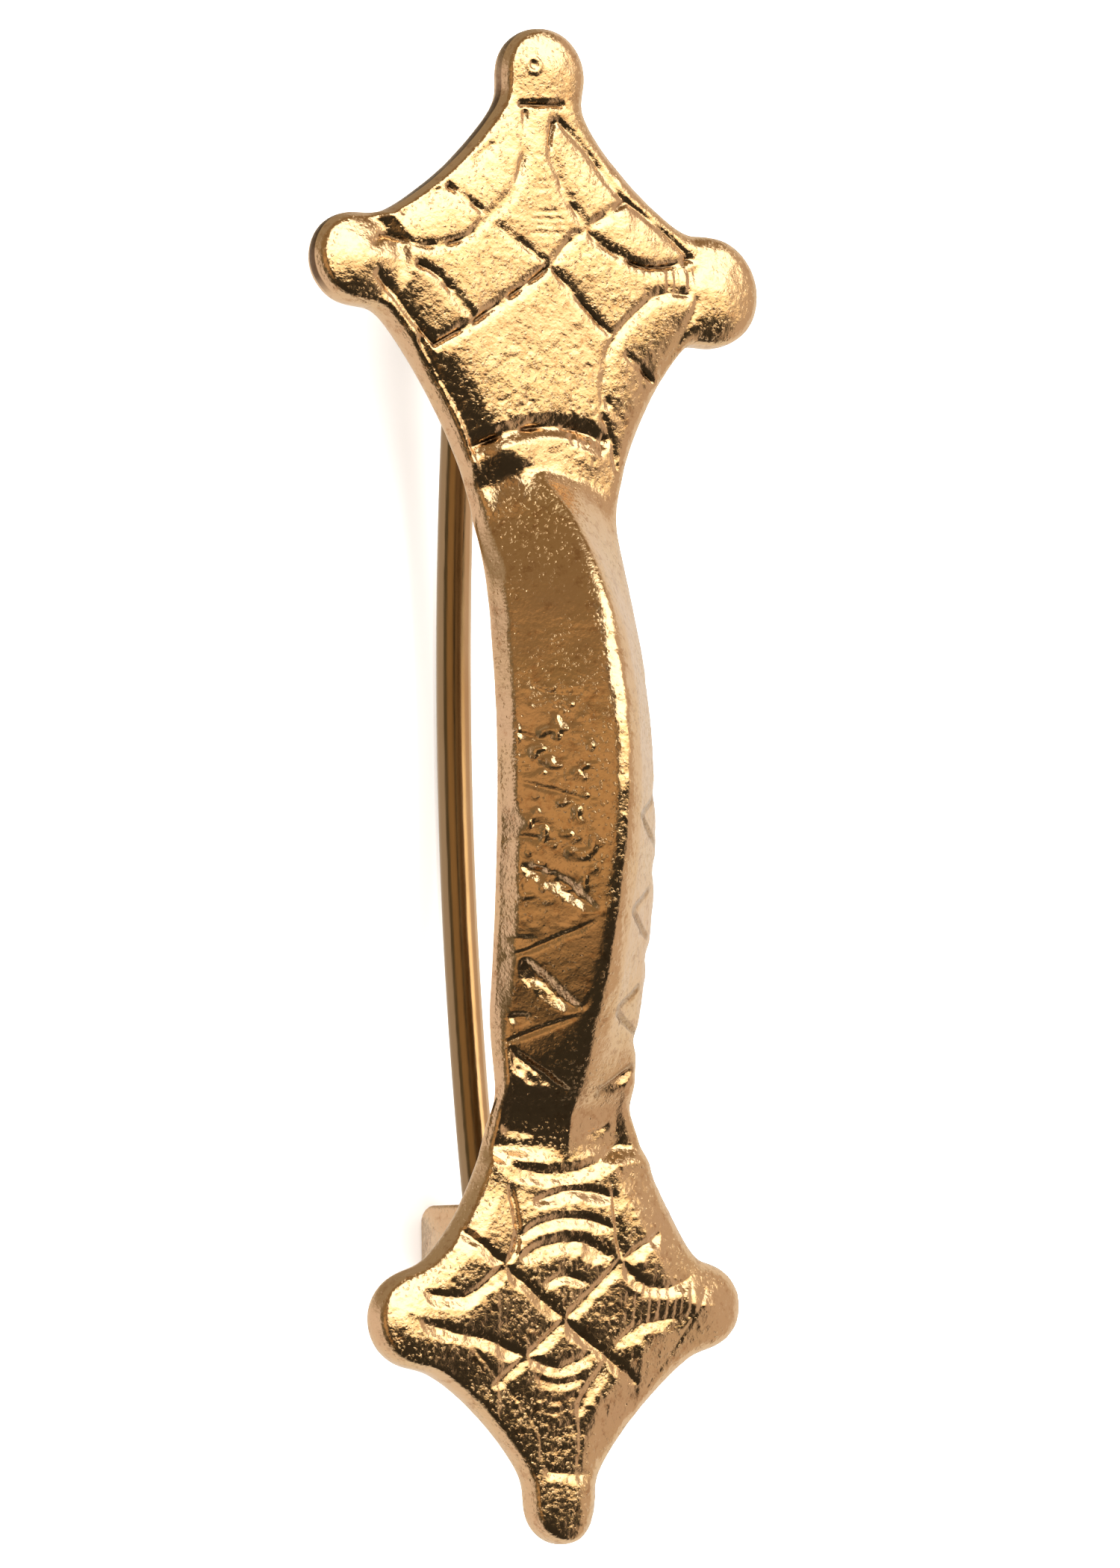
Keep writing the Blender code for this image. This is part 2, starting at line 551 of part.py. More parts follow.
def catch(body):
    # A web that widens to two prongs, with a round seat for the pin and a mouth that opens down.
    seat_y = CATCH_NEAR_Y - 0.5 * CATCH_LENGTH
    seat_z = pin_height(seat_y)
    seat_radius = WIRE_RADIUS + CATCH_SEAT_CLEARANCE
    slope = abs(pin_height(CATCH_NEAR_Y) - pin_height(CATCH_NEAR_Y - CATCH_LENGTH))
    top = FACE_HEIGHT - PLATE_THICKNESS + SEAM + float(lift(CATCH_NEAR_Y))
    shoulder = seat_z + seat_radius + CATCH_SHOULDER
    bevel = CATCH_HALF_WIDTH - CATCH_WEB_HALF_WIDTH
    half = [
        (CATCH_WEB_HALF_WIDTH, top), (CATCH_WEB_HALF_WIDTH, shoulder),
        (CATCH_HALF_WIDTH, shoulder - 2.0 * bevel), (CATCH_HALF_WIDTH, 0.5 * bevel),
        (CATCH_HALF_WIDTH - 0.3 * bevel, 0.0),
    ]
    profile = half + [(-x, z) for x, z in reversed(half)]
    far = CATCH_NEAR_Y - CATCH_LENGTH
    joined(body, prism("catch_web", profile, "y", far, CATCH_NEAR_Y, None), "UNION")

    mouth = WIRE_RADIUS - CATCH_MOUTH_BITE
    start = math.degrees(math.asin(mouth / seat_radius)) - 90.0
    angles = np.radians(np.linspace(start, 180.0 - start, ROUND_SIDES))
    slot = [(seat_radius * math.cos(a), seat_z + seat_radius * math.sin(a)) for a in angles]
    slot = [(x, z + (0.5 * slope if z > seat_z else -0.5 * slope)) for x, z in slot]
    slot = [(mouth, -SEAM)] + slot + [(-mouth, -SEAM)]
    joined(body, prism("catch_slot", slot, "y", far - SEAM, CATCH_NEAR_Y + SEAM, None), "DIFFERENCE")

    # The lower corner towards the head is rounded off.
    corner = [(CATCH_NEAR_Y + SEAM, -SEAM), (CATCH_NEAR_Y + SEAM, CATCH_CORNER)]
    corner += round_corner((CATCH_NEAR_Y - CATCH_CORNER, CATCH_CORNER), CATCH_CORNER, 0, -90)
    corner += [(CATCH_NEAR_Y - CATCH_CORNER, -SEAM)]
    wide = CATCH_HALF_WIDTH + SEAM
    joined(body, prism("catch_corner", corner, "x", -wide, wide, None), "DIFFERENCE")


def pin_height(y):
    # Height of the wire's middle over the ground, along its gentle bend.
    low = PIN_GROUND_GAP + WIRE_RADIUS
    return low + PIN_BEND_RADIUS - math.sqrt(PIN_BEND_RADIUS ** 2 - (y - PIN_LOW_Y) ** 2)


def eye_radius():
    return RIVET_RADIUS + EYE_CLEARANCE + WIRE_RADIUS


def rivet_height():
    # The eye's circle touches the bend from inside, so the wire runs into it without a kink.
    middle = PIN_GROUND_GAP + WIRE_RADIUS + PIN_BEND_RADIUS
    return middle - math.sqrt((PIN_BEND_RADIUS - eye_radius()) ** 2 - (RIVET_Y - PIN_LOW_Y) ** 2)


def pin_path():
    # The wire's middle line in y and z with its radius, from the point to the end of the eye.
    middle = PIN_GROUND_GAP + WIRE_RADIUS + PIN_BEND_RADIUS
    last = math.asin((RIVET_Y - PIN_LOW_Y) / (PIN_BEND_RADIUS - eye_radius()))
    first = math.asin((PIN_TIP_Y - PIN_LOW_Y) / PIN_BEND_RADIUS)
    full = math.asin((PIN_TIP_Y + PIN_TAPER - PIN_LOW_Y) / PIN_BEND_RADIUS)
    count = int(round((last - full) * PIN_BEND_RADIUS / WIRE_STEP))
    angles = list(np.linspace(first, full, 6)) + list(np.linspace(full, last, count + 1))[1:]
    path = []
    for angle in angles:
        share = min(1.0, (angle - first) / (full - first))
        thickness = PIN_POINT_RADIUS + (WIRE_RADIUS - PIN_POINT_RADIUS) * math.sin(0.5 * math.pi * share)
        y = PIN_LOW_Y + PIN_BEND_RADIUS * math.sin(angle)
        path.append((y, middle - PIN_BEND_RADIUS * math.cos(angle), thickness))
    steps = int(round(EYE_TURN / (2.0 * math.pi) * ROUND_SIDES))
    for k in range(1, steps + 1):
        angle = last + EYE_TURN * k / steps
        y = RIVET_Y + eye_radius() * math.sin(angle)
        path.append((y, rivet_height() - eye_radius() * math.cos(angle), WIRE_RADIUS))
    return path


def wire_pin(material):
    path = np.array(pin_path())
    ahead = np.gradient(path[:, :2], axis=0)
    verts = []
    for (y, z, radius), (dy, dz) in zip(path, ahead):
        length = math.hypot(dy, dz)
        for k in range(WIRE_SIDES):
            turn = 2.0 * math.pi * k / WIRE_SIDES
            out = radius * math.cos(turn)
            verts.append((radius * math.sin(turn), y - out * dz / length, z + out * dy / length))
    rings = len(path)
    faces = []
    for ring in range(rings - 1):
        for k in range(WIRE_SIDES):
            a = ring * WIRE_SIDES + k
            b = ring * WIRE_SIDES + (k + 1) % WIRE_SIDES
            faces.append((a, b, b + WIRE_SIDES, a + WIRE_SIDES))
    faces.append(tuple(reversed(range(WIRE_SIDES))))
    faces.append(tuple(range((rings - 1) * WIRE_SIDES, rings * WIRE_SIDES)))
    pin = new_object("pin", verts, faces, material, math.radians(50))
    hinge = Vector((0.0, RIVET_Y, rivet_height()))
    for vertex in pin.data.vertices:
        vertex.co -= hinge
    pin.location = hinge
    return pin


def rivet(material):
    # A shaft with a low domed head at each end, against the cheeks.
    outer = WIRE_RADIUS + CHEEK_SIDE_GAP + CHEEK_THICKNESS + RIVET_FIT
    half = [(RIVET_RADIUS, 0.0), (RIVET_RADIUS, outer), (RIVET_HEAD_RADIUS, outer)]
    for angle in (30.0, 60.0):
        turn = math.radians(angle)
        half.append((RIVET_HEAD_RADIUS * math.cos(turn), outer + RIVET_HEAD_HEIGHT * math.sin(turn)))
    profile = [(radius, -x) for radius, x in reversed(half[1:])] + half[1:]
    verts = []
    for radius, x in profile:
        for y, z in round_profile((0.0, 0.0), radius):
            verts.append((x, y, z))
    rings = len(profile)
    end = profile[-1][1] + RIVET_HEAD_HEIGHT * (1.0 - math.sin(math.radians(60.0)))
    verts += [(-end, 0.0, 0.0), (end, 0.0, 0.0)]
    faces = []
    for ring in range(rings - 1):
        for k in range(ROUND_SIDES):
            a = ring * ROUND_SIDES + k
            b = ring * ROUND_SIDES + (k + 1) % ROUND_SIDES
            faces.append((a, b, b + ROUND_SIDES, a + ROUND_SIDES))
    for k in range(ROUND_SIDES):
        following = (k + 1) % ROUND_SIDES
        last = (rings - 1) * ROUND_SIDES
        faces.append((following, k, rings * ROUND_SIDES))
        faces.append((last + k, last + following, rings * ROUND_SIDES + 1))
    obj = new_object("rivet", verts, faces, material, math.radians(40))
    obj.location = (0.0, RIVET_Y, rivet_height())
    return obj


def main():
    for obj in list(bpy.data.objects):
        bpy.data.objects.remove(obj, do_unlink=True)
    bronze = metal("cast_bronze", (0.80, 0.47, 0.20), 0.22)
    brass = metal("drawn_brass", (0.74, 0.52, 0.25), 0.16)
    body = casting(bronze)
    hinge_cheeks(body)
    catch(body)
    wire_pin(brass)
    rivet(brass)


main()
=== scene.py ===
import math

import bpy
import numpy as np
from mathutils import Matrix, Vector, geometry


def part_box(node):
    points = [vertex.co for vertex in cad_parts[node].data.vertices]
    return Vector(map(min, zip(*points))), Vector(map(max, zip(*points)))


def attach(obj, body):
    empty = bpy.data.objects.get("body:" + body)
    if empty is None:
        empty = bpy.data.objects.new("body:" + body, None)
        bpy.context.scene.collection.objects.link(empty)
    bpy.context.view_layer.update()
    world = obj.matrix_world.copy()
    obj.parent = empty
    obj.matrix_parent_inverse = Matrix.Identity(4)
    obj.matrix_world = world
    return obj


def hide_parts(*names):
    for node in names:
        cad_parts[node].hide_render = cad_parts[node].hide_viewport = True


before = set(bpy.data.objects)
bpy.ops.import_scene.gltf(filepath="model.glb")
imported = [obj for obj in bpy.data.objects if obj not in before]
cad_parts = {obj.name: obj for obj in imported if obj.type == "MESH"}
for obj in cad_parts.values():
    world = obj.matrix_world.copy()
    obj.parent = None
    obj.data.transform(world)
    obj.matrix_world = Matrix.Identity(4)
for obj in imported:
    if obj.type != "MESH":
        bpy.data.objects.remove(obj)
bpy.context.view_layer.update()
mm = 0.001

print("frame loaded")


# Small helpers

def linearColour(hexColour):  # sRGB hex to Blender's linear colour
    parts = [int(hexColour[k:k + 2], 16) / 255.0 for k in (1, 3, 5)]
    return tuple(c / 12.92 if c <= 0.04045 else ((c + 0.055) / 1.055) ** 2.4 for c in parts) + (1.0,)


def addNode(tree, kind, settings=None, links=None, values=None):
    # One node with its settings, its links and its fixed values.
    node = tree.nodes.new(kind)
    for key, value in (settings or {}).items():
        setattr(node, key, value)
    for socket, source in (links or {}).items():
        tree.links.new(source, node.inputs[socket])
    for socket, value in (values or {}).items():
        node.inputs[socket].default_value = value
    return node


def pieceFromMesh(name, verts, faces, material, smooth=True):  # verts in millimetres
    mesh = bpy.data.meshes.new(name)
    mesh.from_pydata((np.asarray(verts) * mm).tolist(), [], faces)
    mesh.materials.append(material)
    if smooth:
        mesh.shade_smooth()
    piece = bpy.data.objects.new(name, mesh)
    bpy.context.scene.collection.objects.link(piece)
    return piece


def softStep(value, low, high):
    share = np.clip((value - low) / (high - low), 0.0, 1.0)
    return share * share * (3.0 - 2.0 * share)


def zone(value, low, full, fading, gone):  # 1 from `full` to `fading`, 0 before `low` and after `gone`
    return softStep(value, low, full) * softStep(-value, -gone, -fading)


def softMax(a, b, softness):
    return 0.5 * (a + b + np.sqrt((a - b) ** 2 + softness ** 2))


def bumps(x, y, size, seed):  # smooth random relief from -1 to 1, with bumps about `size` mm across
    cells = 256
    table = np.random.default_rng(seed).uniform(-1.0, 1.0, (cells, cells))
    u = np.asarray(x) / size + 500.0
    v = np.asarray(y) / size + 500.0
    i = np.floor(u).astype(int)
    j = np.floor(v).astype(int)
    fu = u - i
    fv = v - j
    fu = fu * fu * (3.0 - 2.0 * fu)
    fv = fv * fv * (3.0 - 2.0 * fv)
    a = table[i % cells, j % cells] * (1 - fu) + table[(i + 1) % cells, j % cells] * fu
    b = table[i % cells, (j + 1) % cells] * (1 - fu) + table[(i + 1) % cells, (j + 1) % cells] * fu
    return a * (1 - fv) + b * fv


def waves(points, layers):  # relief from layers of bumps, each with its height, size and seed
    return sum(height * bumps(*points.T, size, seed) for height, size, seed in layers)


def beads(points, height, size, above, seed):  # only the tops of the bumps, where they rise above a level
    return height * np.maximum(bumps(*points.T, size, seed) - above, 0.0)


def distanceTo(points, line, closed=False):  # distance from each point to a polyline
    starts = line if closed else line[:-1]
    ends = np.roll(line, -1, axis=0) if closed else line[1:]
    nearest = np.full(len(points), np.inf)
    for start, step in zip(starts, ends - starts):
        offset = points - start
        share = np.clip(offset @ step / (step @ step), 0.0, 1.0)
        gap = offset - share[:, None] * step
        nearest = np.minimum(nearest, np.einsum("ij,ij->i", gap, gap))
    return np.sqrt(nearest)


def curveThrough(points, step=0.2):  # a smooth curve through a few points
    points = np.array(points, float)
    if len(points) == 2:
        points = np.array([points[0], points.mean(axis=0), points[1]])
    padded = np.vstack((2 * points[0] - points[1], points, 2 * points[-1] - points[-2]))
    line = []
    for a, b, c, d in zip(padded, padded[1:], padded[2:], padded[3:]):
        count = max(1, int(math.ceil(np.hypot(*(c - b)) / step)))
        for t in np.linspace(0.0, 1.0, count, endpoint=False):
            line.append(0.5 * (2 * b + (c - a) * t + (2 * a - 5 * b + 4 * c - d) * t * t
                               + (3 * b - a - 3 * c + d) * t ** 3))
    return np.vstack((line, points[-1:]))


# Casting: outline, face and back, as the solid has them, but finer

casting = {
    "step": 0.1, "cadStep": 0.62,  # between points, here and in the solid
    "thickness": 1.3, "edgeRound": 0.75, "crispEdge": 0.2, "edgeDrop": 0.42,
    "headSideY": 21.9, "headRightSag": 0.25, "headLeft": (-9.1, 2.05), "headRight": (8.5, 2.5),
    "headTip": (0.2, 30.65, 2.1), "headUpperHollow": 0.55, "headLowerHollow": 0.55, "headCrown": 0.3,
    "footSideY": -22.9, "footLeftSag": 0.25, "footLeft": (-7.0, 2.1), "footRight": (7.42, 1.87),
    "footTip": (0.0, -31.15, 1.75), "footUpperLeftHollow": 0.8, "footUpperRightHollow": 0.12,
    "footLowerHollow": 0.45, "footCrown": 0.3, "footCrownShares": (0.2, 1.1), "footCrownRun": 4.5,
    "neckY": 11.5, "neckHalf": 3.3, "ankleY": -14.0, "ankleHalf": 3.22,
    "bowSwell": 0.5, "bowSwellShare": 0.385,
    "bowHeadEnd": 13.3, "bowFootEnd": -15.1, "ridgeRise": 5.75, "edgeRise": 2.05, "edgeArchInset": 2.7,
    "footShoulder": 0.7, "shoulderRun": 2.1, "liftBlend": 0.2, "liftBlendRise": 0.008,
    "bowHollow": 1.1, "bowEdge": 0.85,
    "notches": [-0.9, -4.2, -7.9, -11.4], "notchDepth": 0.26, "notchHalf": 0.45, "notchedTo": 12.5,
    "rimRings": (0.03, 0.09, 0.17), "rimGap": 0.24, "backInset": 0.1, "backStep": 0.55, "backGap": 0.3,
    # down the wall: the share of its height, and how far it stands out
    "wallRows": [(0.12, 0.02), (0.3, 0.045), (0.52, 0.05), (0.74, 0.035), (0.9, -0.01), (0.97, -0.05)],
    "wallWaves": [(0.012, 0.8, 71)], "wallShadeWaves": [(0.3, 0.9, 72)],
    # painted shade: how dark the back is, together with its tarnish, and the upper rows of the head's upper
    # left wall
    "backShadeAndTarnish": 0.11, "wallShade": 0.15, "shadedRows": 3, "shadedFrom": 20.0,
}
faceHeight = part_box("brooch")[1].z / mm - casting["ridgeRise"]  # top of the plates over the table


def arc(start, end, bulge, step):
    start = np.array(start, float)
    chord = np.array(end, float) - start
    length = np.hypot(*chord)
    share = np.linspace(0.0, 1.0, max(2, int(round(length / step))) + 1)
    left = np.array((-chord[1], chord[0])) / length
    return start + share[:, None] * chord + (4.0 * bulge * share * (1.0 - share))[:, None] * left


def broochOutline(step):  # anticlockwise from the right of the neck
    c = casting

    def knob(x, y, radius, first, last):
        count = max(4, int(round(radius * math.radians(last - first) / step)))
        angles = np.radians(np.linspace(first, last, count + 1))
        return np.column_stack((x + radius * np.cos(angles), y + radius * np.sin(angles)))

    headRight = knob(c["headRight"][0], c["headSideY"] - c["headRightSag"], c["headRight"][1], -118, 116)
    headTip = knob(*c["headTip"], -40, 208)
    headLeft = knob(c["headLeft"][0], c["headSideY"], c["headLeft"][1], 62, 296)
    footLeft = knob(c["footLeft"][0], c["footSideY"] - c["footLeftSag"], c["footLeft"][1], 82, 282)
    footTip = knob(*c["footTip"], 152, 388)
    footRight = knob(c["footRight"][0], c["footSideY"], c["footRight"][1], -102, 104)
    mirror = np.array((-1.0, 1.0))
    bowY = np.arange(c["ankleY"], c["neckY"] + 0.5 * step, step)
    bow = np.column_stack((halfWidth(bowY), bowY))
    ankle, neck = bow[0], bow[-1]
    stretches = [
        arc(neck, headRight[0], c["headLowerHollow"], step), headRight,
        arc(headRight[-1], headTip[0], c["headUpperHollow"], step), headTip,
        arc(headTip[-1], headLeft[0], c["headUpperHollow"], step), headLeft,
        arc(headLeft[-1], neck * mirror, c["headLowerHollow"], step),
        bow[::-1] * mirror, arc(ankle * mirror, footLeft[0], c["footUpperLeftHollow"], step), footLeft,
        arc(footLeft[-1], footTip[0], c["footLowerHollow"], step), footTip,
        arc(footTip[-1], footRight[0], c["footLowerHollow"], step), footRight,
        arc(footRight[-1], ankle, c["footUpperRightHollow"], step), bow,
    ]
    loop = np.vstack([line[:-1] for line in stretches])
    closed = np.vstack((loop, loop[:1]))
    travel = np.concatenate(([0.0], np.cumsum(np.hypot(*np.diff(closed, axis=0).T))))
    stops = np.linspace(0.0, travel[-1], int(round(travel[-1] / step)) + 1)[:-1]
    loop = np.column_stack([np.interp(stops, travel, closed[:, k]) for k in (0, 1)])
    for _ in range(int(round(2.0 * (c["cadStep"] / step) ** 2))):  # the solid's softened inner corners
        loop = 0.25 * np.roll(loop, 1, axis=0) + 0.5 * loop + 0.25 * np.roll(loop, -1, axis=0)
    onRight = (loop[:, 0] > 0.0) & (np.abs(loop[:, 1]) < c["notchedTo"])
    for y in c["notches"]:  # nicks where the zigzag runs out over the right edge
        loop[:, 0] -= onRight * c["notchDepth"] * np.exp(-((loop[:, 1] - y) / c["notchHalf"]) ** 2)
    return loop


def outward(loop):  # the unit direction out of an anticlockwise loop at each point
    ahead = np.roll(loop, -1, axis=0) - np.roll(loop, 1, axis=0)
    out = np.column_stack((ahead[:, 1], -ahead[:, 0]))
    return out / np.hypot(*out.T)[:, None]


def arch(y, low, high, rise):
    half = 0.5 * (high - low)
    radius = (half ** 2 + rise ** 2) / (2.0 * rise)
    along = y - 0.5 * (high + low)
    return rise - radius + np.sqrt(np.maximum(radius ** 2 - along ** 2, 0.04 * radius ** 2))


def lift(y):  # how far the bow's edges rise over the plates
    c = casting
    bare = arch(y, c["bowFootEnd"] + c["edgeArchInset"], c["bowHeadEnd"] - c["edgeArchInset"], c["edgeRise"])
    shoulder = softStep(y, c["bowFootEnd"] - c["ankleHalf"], c["bowFootEnd"] + c["shoulderRun"])
    shoulder = c["footShoulder"] * shoulder * softStep(-y, 0.0, -c["ankleY"])
    return softMax(bare, shoulder, c["liftBlend"]) - c["liftBlendRise"]


def halfWidth(y):
    c = casting
    share = np.clip((y - c["ankleY"]) / (c["neckY"] - c["ankleY"]), 0.0, 1.0)
    most = c["bowSwellShare"]
    swell = (share / most) * ((1.0 - share) / (1.0 - most)) ** (1.0 / most - 1.0)
    return c["ankleHalf"] + share * (c["neckHalf"] - c["ankleHalf"]) + c["bowSwell"] * swell


def crown(y):
    c = casting
    head = c["headCrown"] * softStep(y, c["neckY"], c["neckY"] + c["headTip"][2])
    tail = softStep(y, c["footTip"][1], c["bowFootEnd"] - c["footTip"][2])
    flat, raised = c["footCrownShares"]
    foot = c["footCrown"] * (flat + raised * tail)
    return head + foot * softStep(-y, -c["bowFootEnd"], -c["bowFootEnd"] + c["footCrownRun"])


# Carving: each line has its width, its depth, how far it is cracked open, and the few points it runs through

headCarving = [
    # the four lobes
    (0.9, 0.04, 0.5, [(-1.05, 28.8), (-1.15, 27.4), (-1.3, 26.5), (-1.95, 25.0), (-3.05, 24.0)]),
    (0.9, 0.05, 0.9, [(0.3, 28.4), (0.1, 27.4), (0.5, 26.1), (0.85, 25.2), (1.85, 23.85)]),
    (0.8, 0.04, 1.0, [(-3.05, 24.0), (-3.4, 23.7), (-4.3, 22.95), (-6.1, 22.5), (-7.8, 22.9), (-8.4, 22.6)]),
    (0.9, 0.05, 1.3, [(1.85, 23.85), (2.3, 23.4), (3.85, 22.6), (5.05, 22.4), (6.6, 22.65), (7.05, 22.95)]),
    (0.8, 0.05, 0.8, [(-6.5, 21.7), (-5.85, 21.4), (-4.95, 20.65), (-3.95, 19.6)]),
    (0.9, 0.05, 0.4, [(6.95, 21.3), (5.45, 21.2), (4.35, 20.4), (3.35, 19.4), (2.75, 18.4), (2.55, 16.8),
                      (2.75, 16.2)]),
    # the cross between them
    (0.7, 0.02, 0.2, [(-0.05, 22.1), (-2.7, 23.7)]),
    (0.9, 0.04, 0.8, [(-0.05, 22.1), (0.75, 21.3), (2.85, 19.3)]),
    (0.9, 0.05, 1.1, [(-0.05, 22.1), (-1.05, 21.3), (-3.75, 19.45)]),
    (0.8, 0.04, 0.8, [(-0.05, 22.1), (1.05, 23.3), (1.85, 23.85)]),
    # short lines from the cusps to the edges
    (0.7, 0.04, 0.9, [(-3.05, 24.0), (-4.85, 25.2)]),
    (0.8, 0.05, 0.9, [(1.85, 23.85), (3.75, 25.1)]),
    (0.9, 0.06, 1.1, [(-3.75, 19.45), (-5.7, 18.3)]),
    (0.6, 0.04, 1.1, [(3.75, 18.4), (5.15, 17.4)]),
    # borders
    (0.5, 0.02, 0.7, [(-2.7, 27.2), (-3.65, 26.4)]),
    (0.5, 0.02, 0.4, [(-5.4, 25.0), (-7.1, 23.9)]),
    (0.7, 0.04, 0.45, [(0.55, 28.5), (2.05, 27.2), (2.95, 26.1), (3.75, 25.3), (4.75, 24.7), (6.15, 23.8),
                       (7.25, 22.9)]),
    (0.7, 0.09, 0.6, [(-8.4, 21.1), (-7.5, 20.2), (-6.6, 19.2), (-5.7, 18.3)]),
    (0.8, 0.16, 0.2, [(-6.3, 18.4), (-5.45, 16.75), (-4.6, 14.9), (-3.9, 13.6)]),
    (0.8, 0.04, 0.2, [(7.35, 22.4), (7.35, 20.9), (6.95, 20.0), (5.75, 17.9)]),
    (0.6, 0.03, 0.6, [(2.5, 15.6), (3.0, 14.5), (3.2, 13.4)]),
    # across the upper arm, and over the neck
    (0.5, 0.02, 1.0, [(-1.25, 29.1), (0.75, 29.2)]),
    (1.2, 0.20, 1.3, [(-3.7, 14.05), (-2.1, 14.7), (-0.5, 15.05), (1.1, 15.0), (2.5, 14.6)]),
]

# Slabs: chased with a slanted tool, steep on one side and flat on the other.
# Each has the width of its flat wall (below zero when it lies right of the stroke), its depth and its points.
footCarving = [
    # steps down the upper arm
    (-0.66, 0.18, [(-3.6, -16.2), (-2.3, -16.8), (-0.6, -17.05), (1.3, -16.7), (3.0, -15.75)]),
    (-0.5, 0.15, [(-1.75, -18.35), (-0.8, -17.98), (0.3, -17.82), (1.4, -17.9), (2.3, -18.2)]),
    (-0.5, 0.15, [(-2.5, -19.75), (-1.4, -19.2), (-0.1, -18.98), (1.2, -19.12), (2.2, -19.55)]),
    (-0.6, 0.16, [(-2.4, -20.75), (-1.5, -20.22), (-0.2, -19.96), (1.1, -20.18), (2.05, -20.75)]),
    (-0.4, 0.11, [(-1.25, -21.85), (-0.75, -21.55), (-0.15, -21.42), (0.4, -21.55), (0.8, -21.85)]),
    (-0.30, 0.15, [(-2.75, -17.5), (-2.5, -18.7), (-2.5, -20.1), (-3.15, -21.0)]),
    (0.34, 0.13, [(2.2, -17.8), (2.35, -19.5), (2.6, -20.85)]),
    # the cross
    (-0.46, 0.14, [(-3.15, -20.95), (-0.25, -23.3)]),
    (0.44, 0.13, [(2.6, -20.8), (-0.25, -23.3)]),
    (0.42, 0.13, [(-0.25, -23.3), (-2.15, -24.85)]),
    (-0.46, 0.16, [(-0.25, -23.3), (0.6, -24.0), (3.5, -26.1)]),
    # short lines from the cusps to the edges
    (-0.46, 0.14, [(-5.0, -19.4), (-3.15, -20.95)]),
    (0.44, 0.13, [(4.6, -19.7), (2.6, -20.8)]),
    (0.36, 0.10, [(-2.15, -24.85), (-3.8, -26.05)]),
    # lobes of the side arms
    (-0.55, 0.15, [(-7.0, -22.0), (-5.4, -22.25), (-4.3, -21.8), (-3.15, -20.95)]),
    (-0.45, 0.13, [(2.6, -20.8), (3.5, -21.75), (4.8, -22.0), (6.2, -21.7)]),
    (-0.55, 0.15, [(-7.3, -23.25), (-5.4, -23.75), (-4.0, -24.05), (-2.15, -24.85)]),
    (-0.52, 0.13, [(2.2, -24.4), (3.6, -23.6), (6.25, -23.25)]),
    # lines of the lower arm
    (-0.52, 0.13, [(-2.15, -24.85), (-0.5, -25.3), (1.2, -24.7)]),
    (-0.36, 0.07, [(-1.7, -25.7), (-0.6, -26.0), (0.6, -25.8)]),
    (0.52, 0.10, [(1.9, -25.1), (0.6, -26.6), (0.45, -27.4)]),
    (-0.44, 0.12, [(-1.3, -29.7), (1.15, -29.85)]),
]
footScratches = [  # as the head's lines
    (0.30, 0.03, 0.1, [(6.9, -22.2), (6.2, -23.4), (5.2, -24.8), (4.0, -26.3)]),
    (0.30, 0.03, 0.1, [(0.45, -27.4), (0.5, -28.4), (0.4, -29.5)]),
    (0.30, 0.03, 0.0, [(-4.7, -24.4), (-3.6, -25.6), (-2.4, -26.8), (-1.5, -28.1), (-1.4, -29.2)]),
]
bowCarving = [  # the zigzag on both faces: crisp by the foot, worn to traces by the head
    (-0.23, 0.09, [(-2.8, 3.5), (-1.95, 3.15), (-1.1, 3.05)]),
    (-0.25, 0.14, [(-3.45, 1.6), (-2.35, 1.2)]),
    (-0.23, 0.11, [(-3.75, 0.45), (-3.05, 0.7)]),
    (-0.25, 0.14, [(-3.35, -0.55), (-2.2, -1.0), (-1.3, -1.4)]),
    (-0.25, 0.11, [(-3.05, -2.3), (-2.2, -2.5)]),
    (-0.34, 0.16, [(-3.75, -3.1), (-3.2, -2.9), (-2.2, -3.2)]),
    (-0.68, 0.34, [(-3.25, -4.1), (-2.1, -4.65), (-1.4, -5.3), (-0.75, -6.1)]),
    (0.28, 0.22, [(-0.75, -6.55), (-1.65, -7.0), (-2.55, -7.5), (-3.65, -8.0)]),
    (-0.46, 0.20, [(-3.45, -7.1), (-2.65, -7.2)]),
    (-0.74, 0.44, [(-3.0, -8.05), (-1.9, -9.15), (-0.85, -10.25)]),
    (0.28, 0.23, [(-0.85, -10.45), (-1.8, -10.85), (-3.35, -11.55)]),
    (-0.46, 0.20, [(-3.2, -10.35), (-2.4, -10.5)]),
    (-0.72, 0.36, [(-3.05, -11.75), (-1.7, -12.8), (-0.4, -13.7)]),
    (0.23, 0.14, [(-0.6, -9.6), (-0.8, -10.3)]),
    (0.34, 0.16, [(2.7, -5.1), (1.1, -6.05)]),
    (-0.34, 0.16, [(1.1, -6.1), (3.0, -7.05)]),
    (0.34, 0.16, [(2.75, -9.2), (1.1, -10.2)]),
    (-0.34, 0.16, [(1.1, -10.3), (3.2, -11.15)]),
    (0.48, 0.24, [(2.9, -12.6), (1.1, -13.65)]),
    (0.34, 0.14, [(2.9, -1.2), (1.3, -2.1)]),
    (-0.34, 0.14, [(1.3, -2.1), (3.2, -3.1)]),
    (-0.46, 0.14, [(-3.1, -15.0), (-1.5, -15.4)]),
    (-0.46, 0.14, [(0.7, -15.5), (2.2, -15.0)]),
]

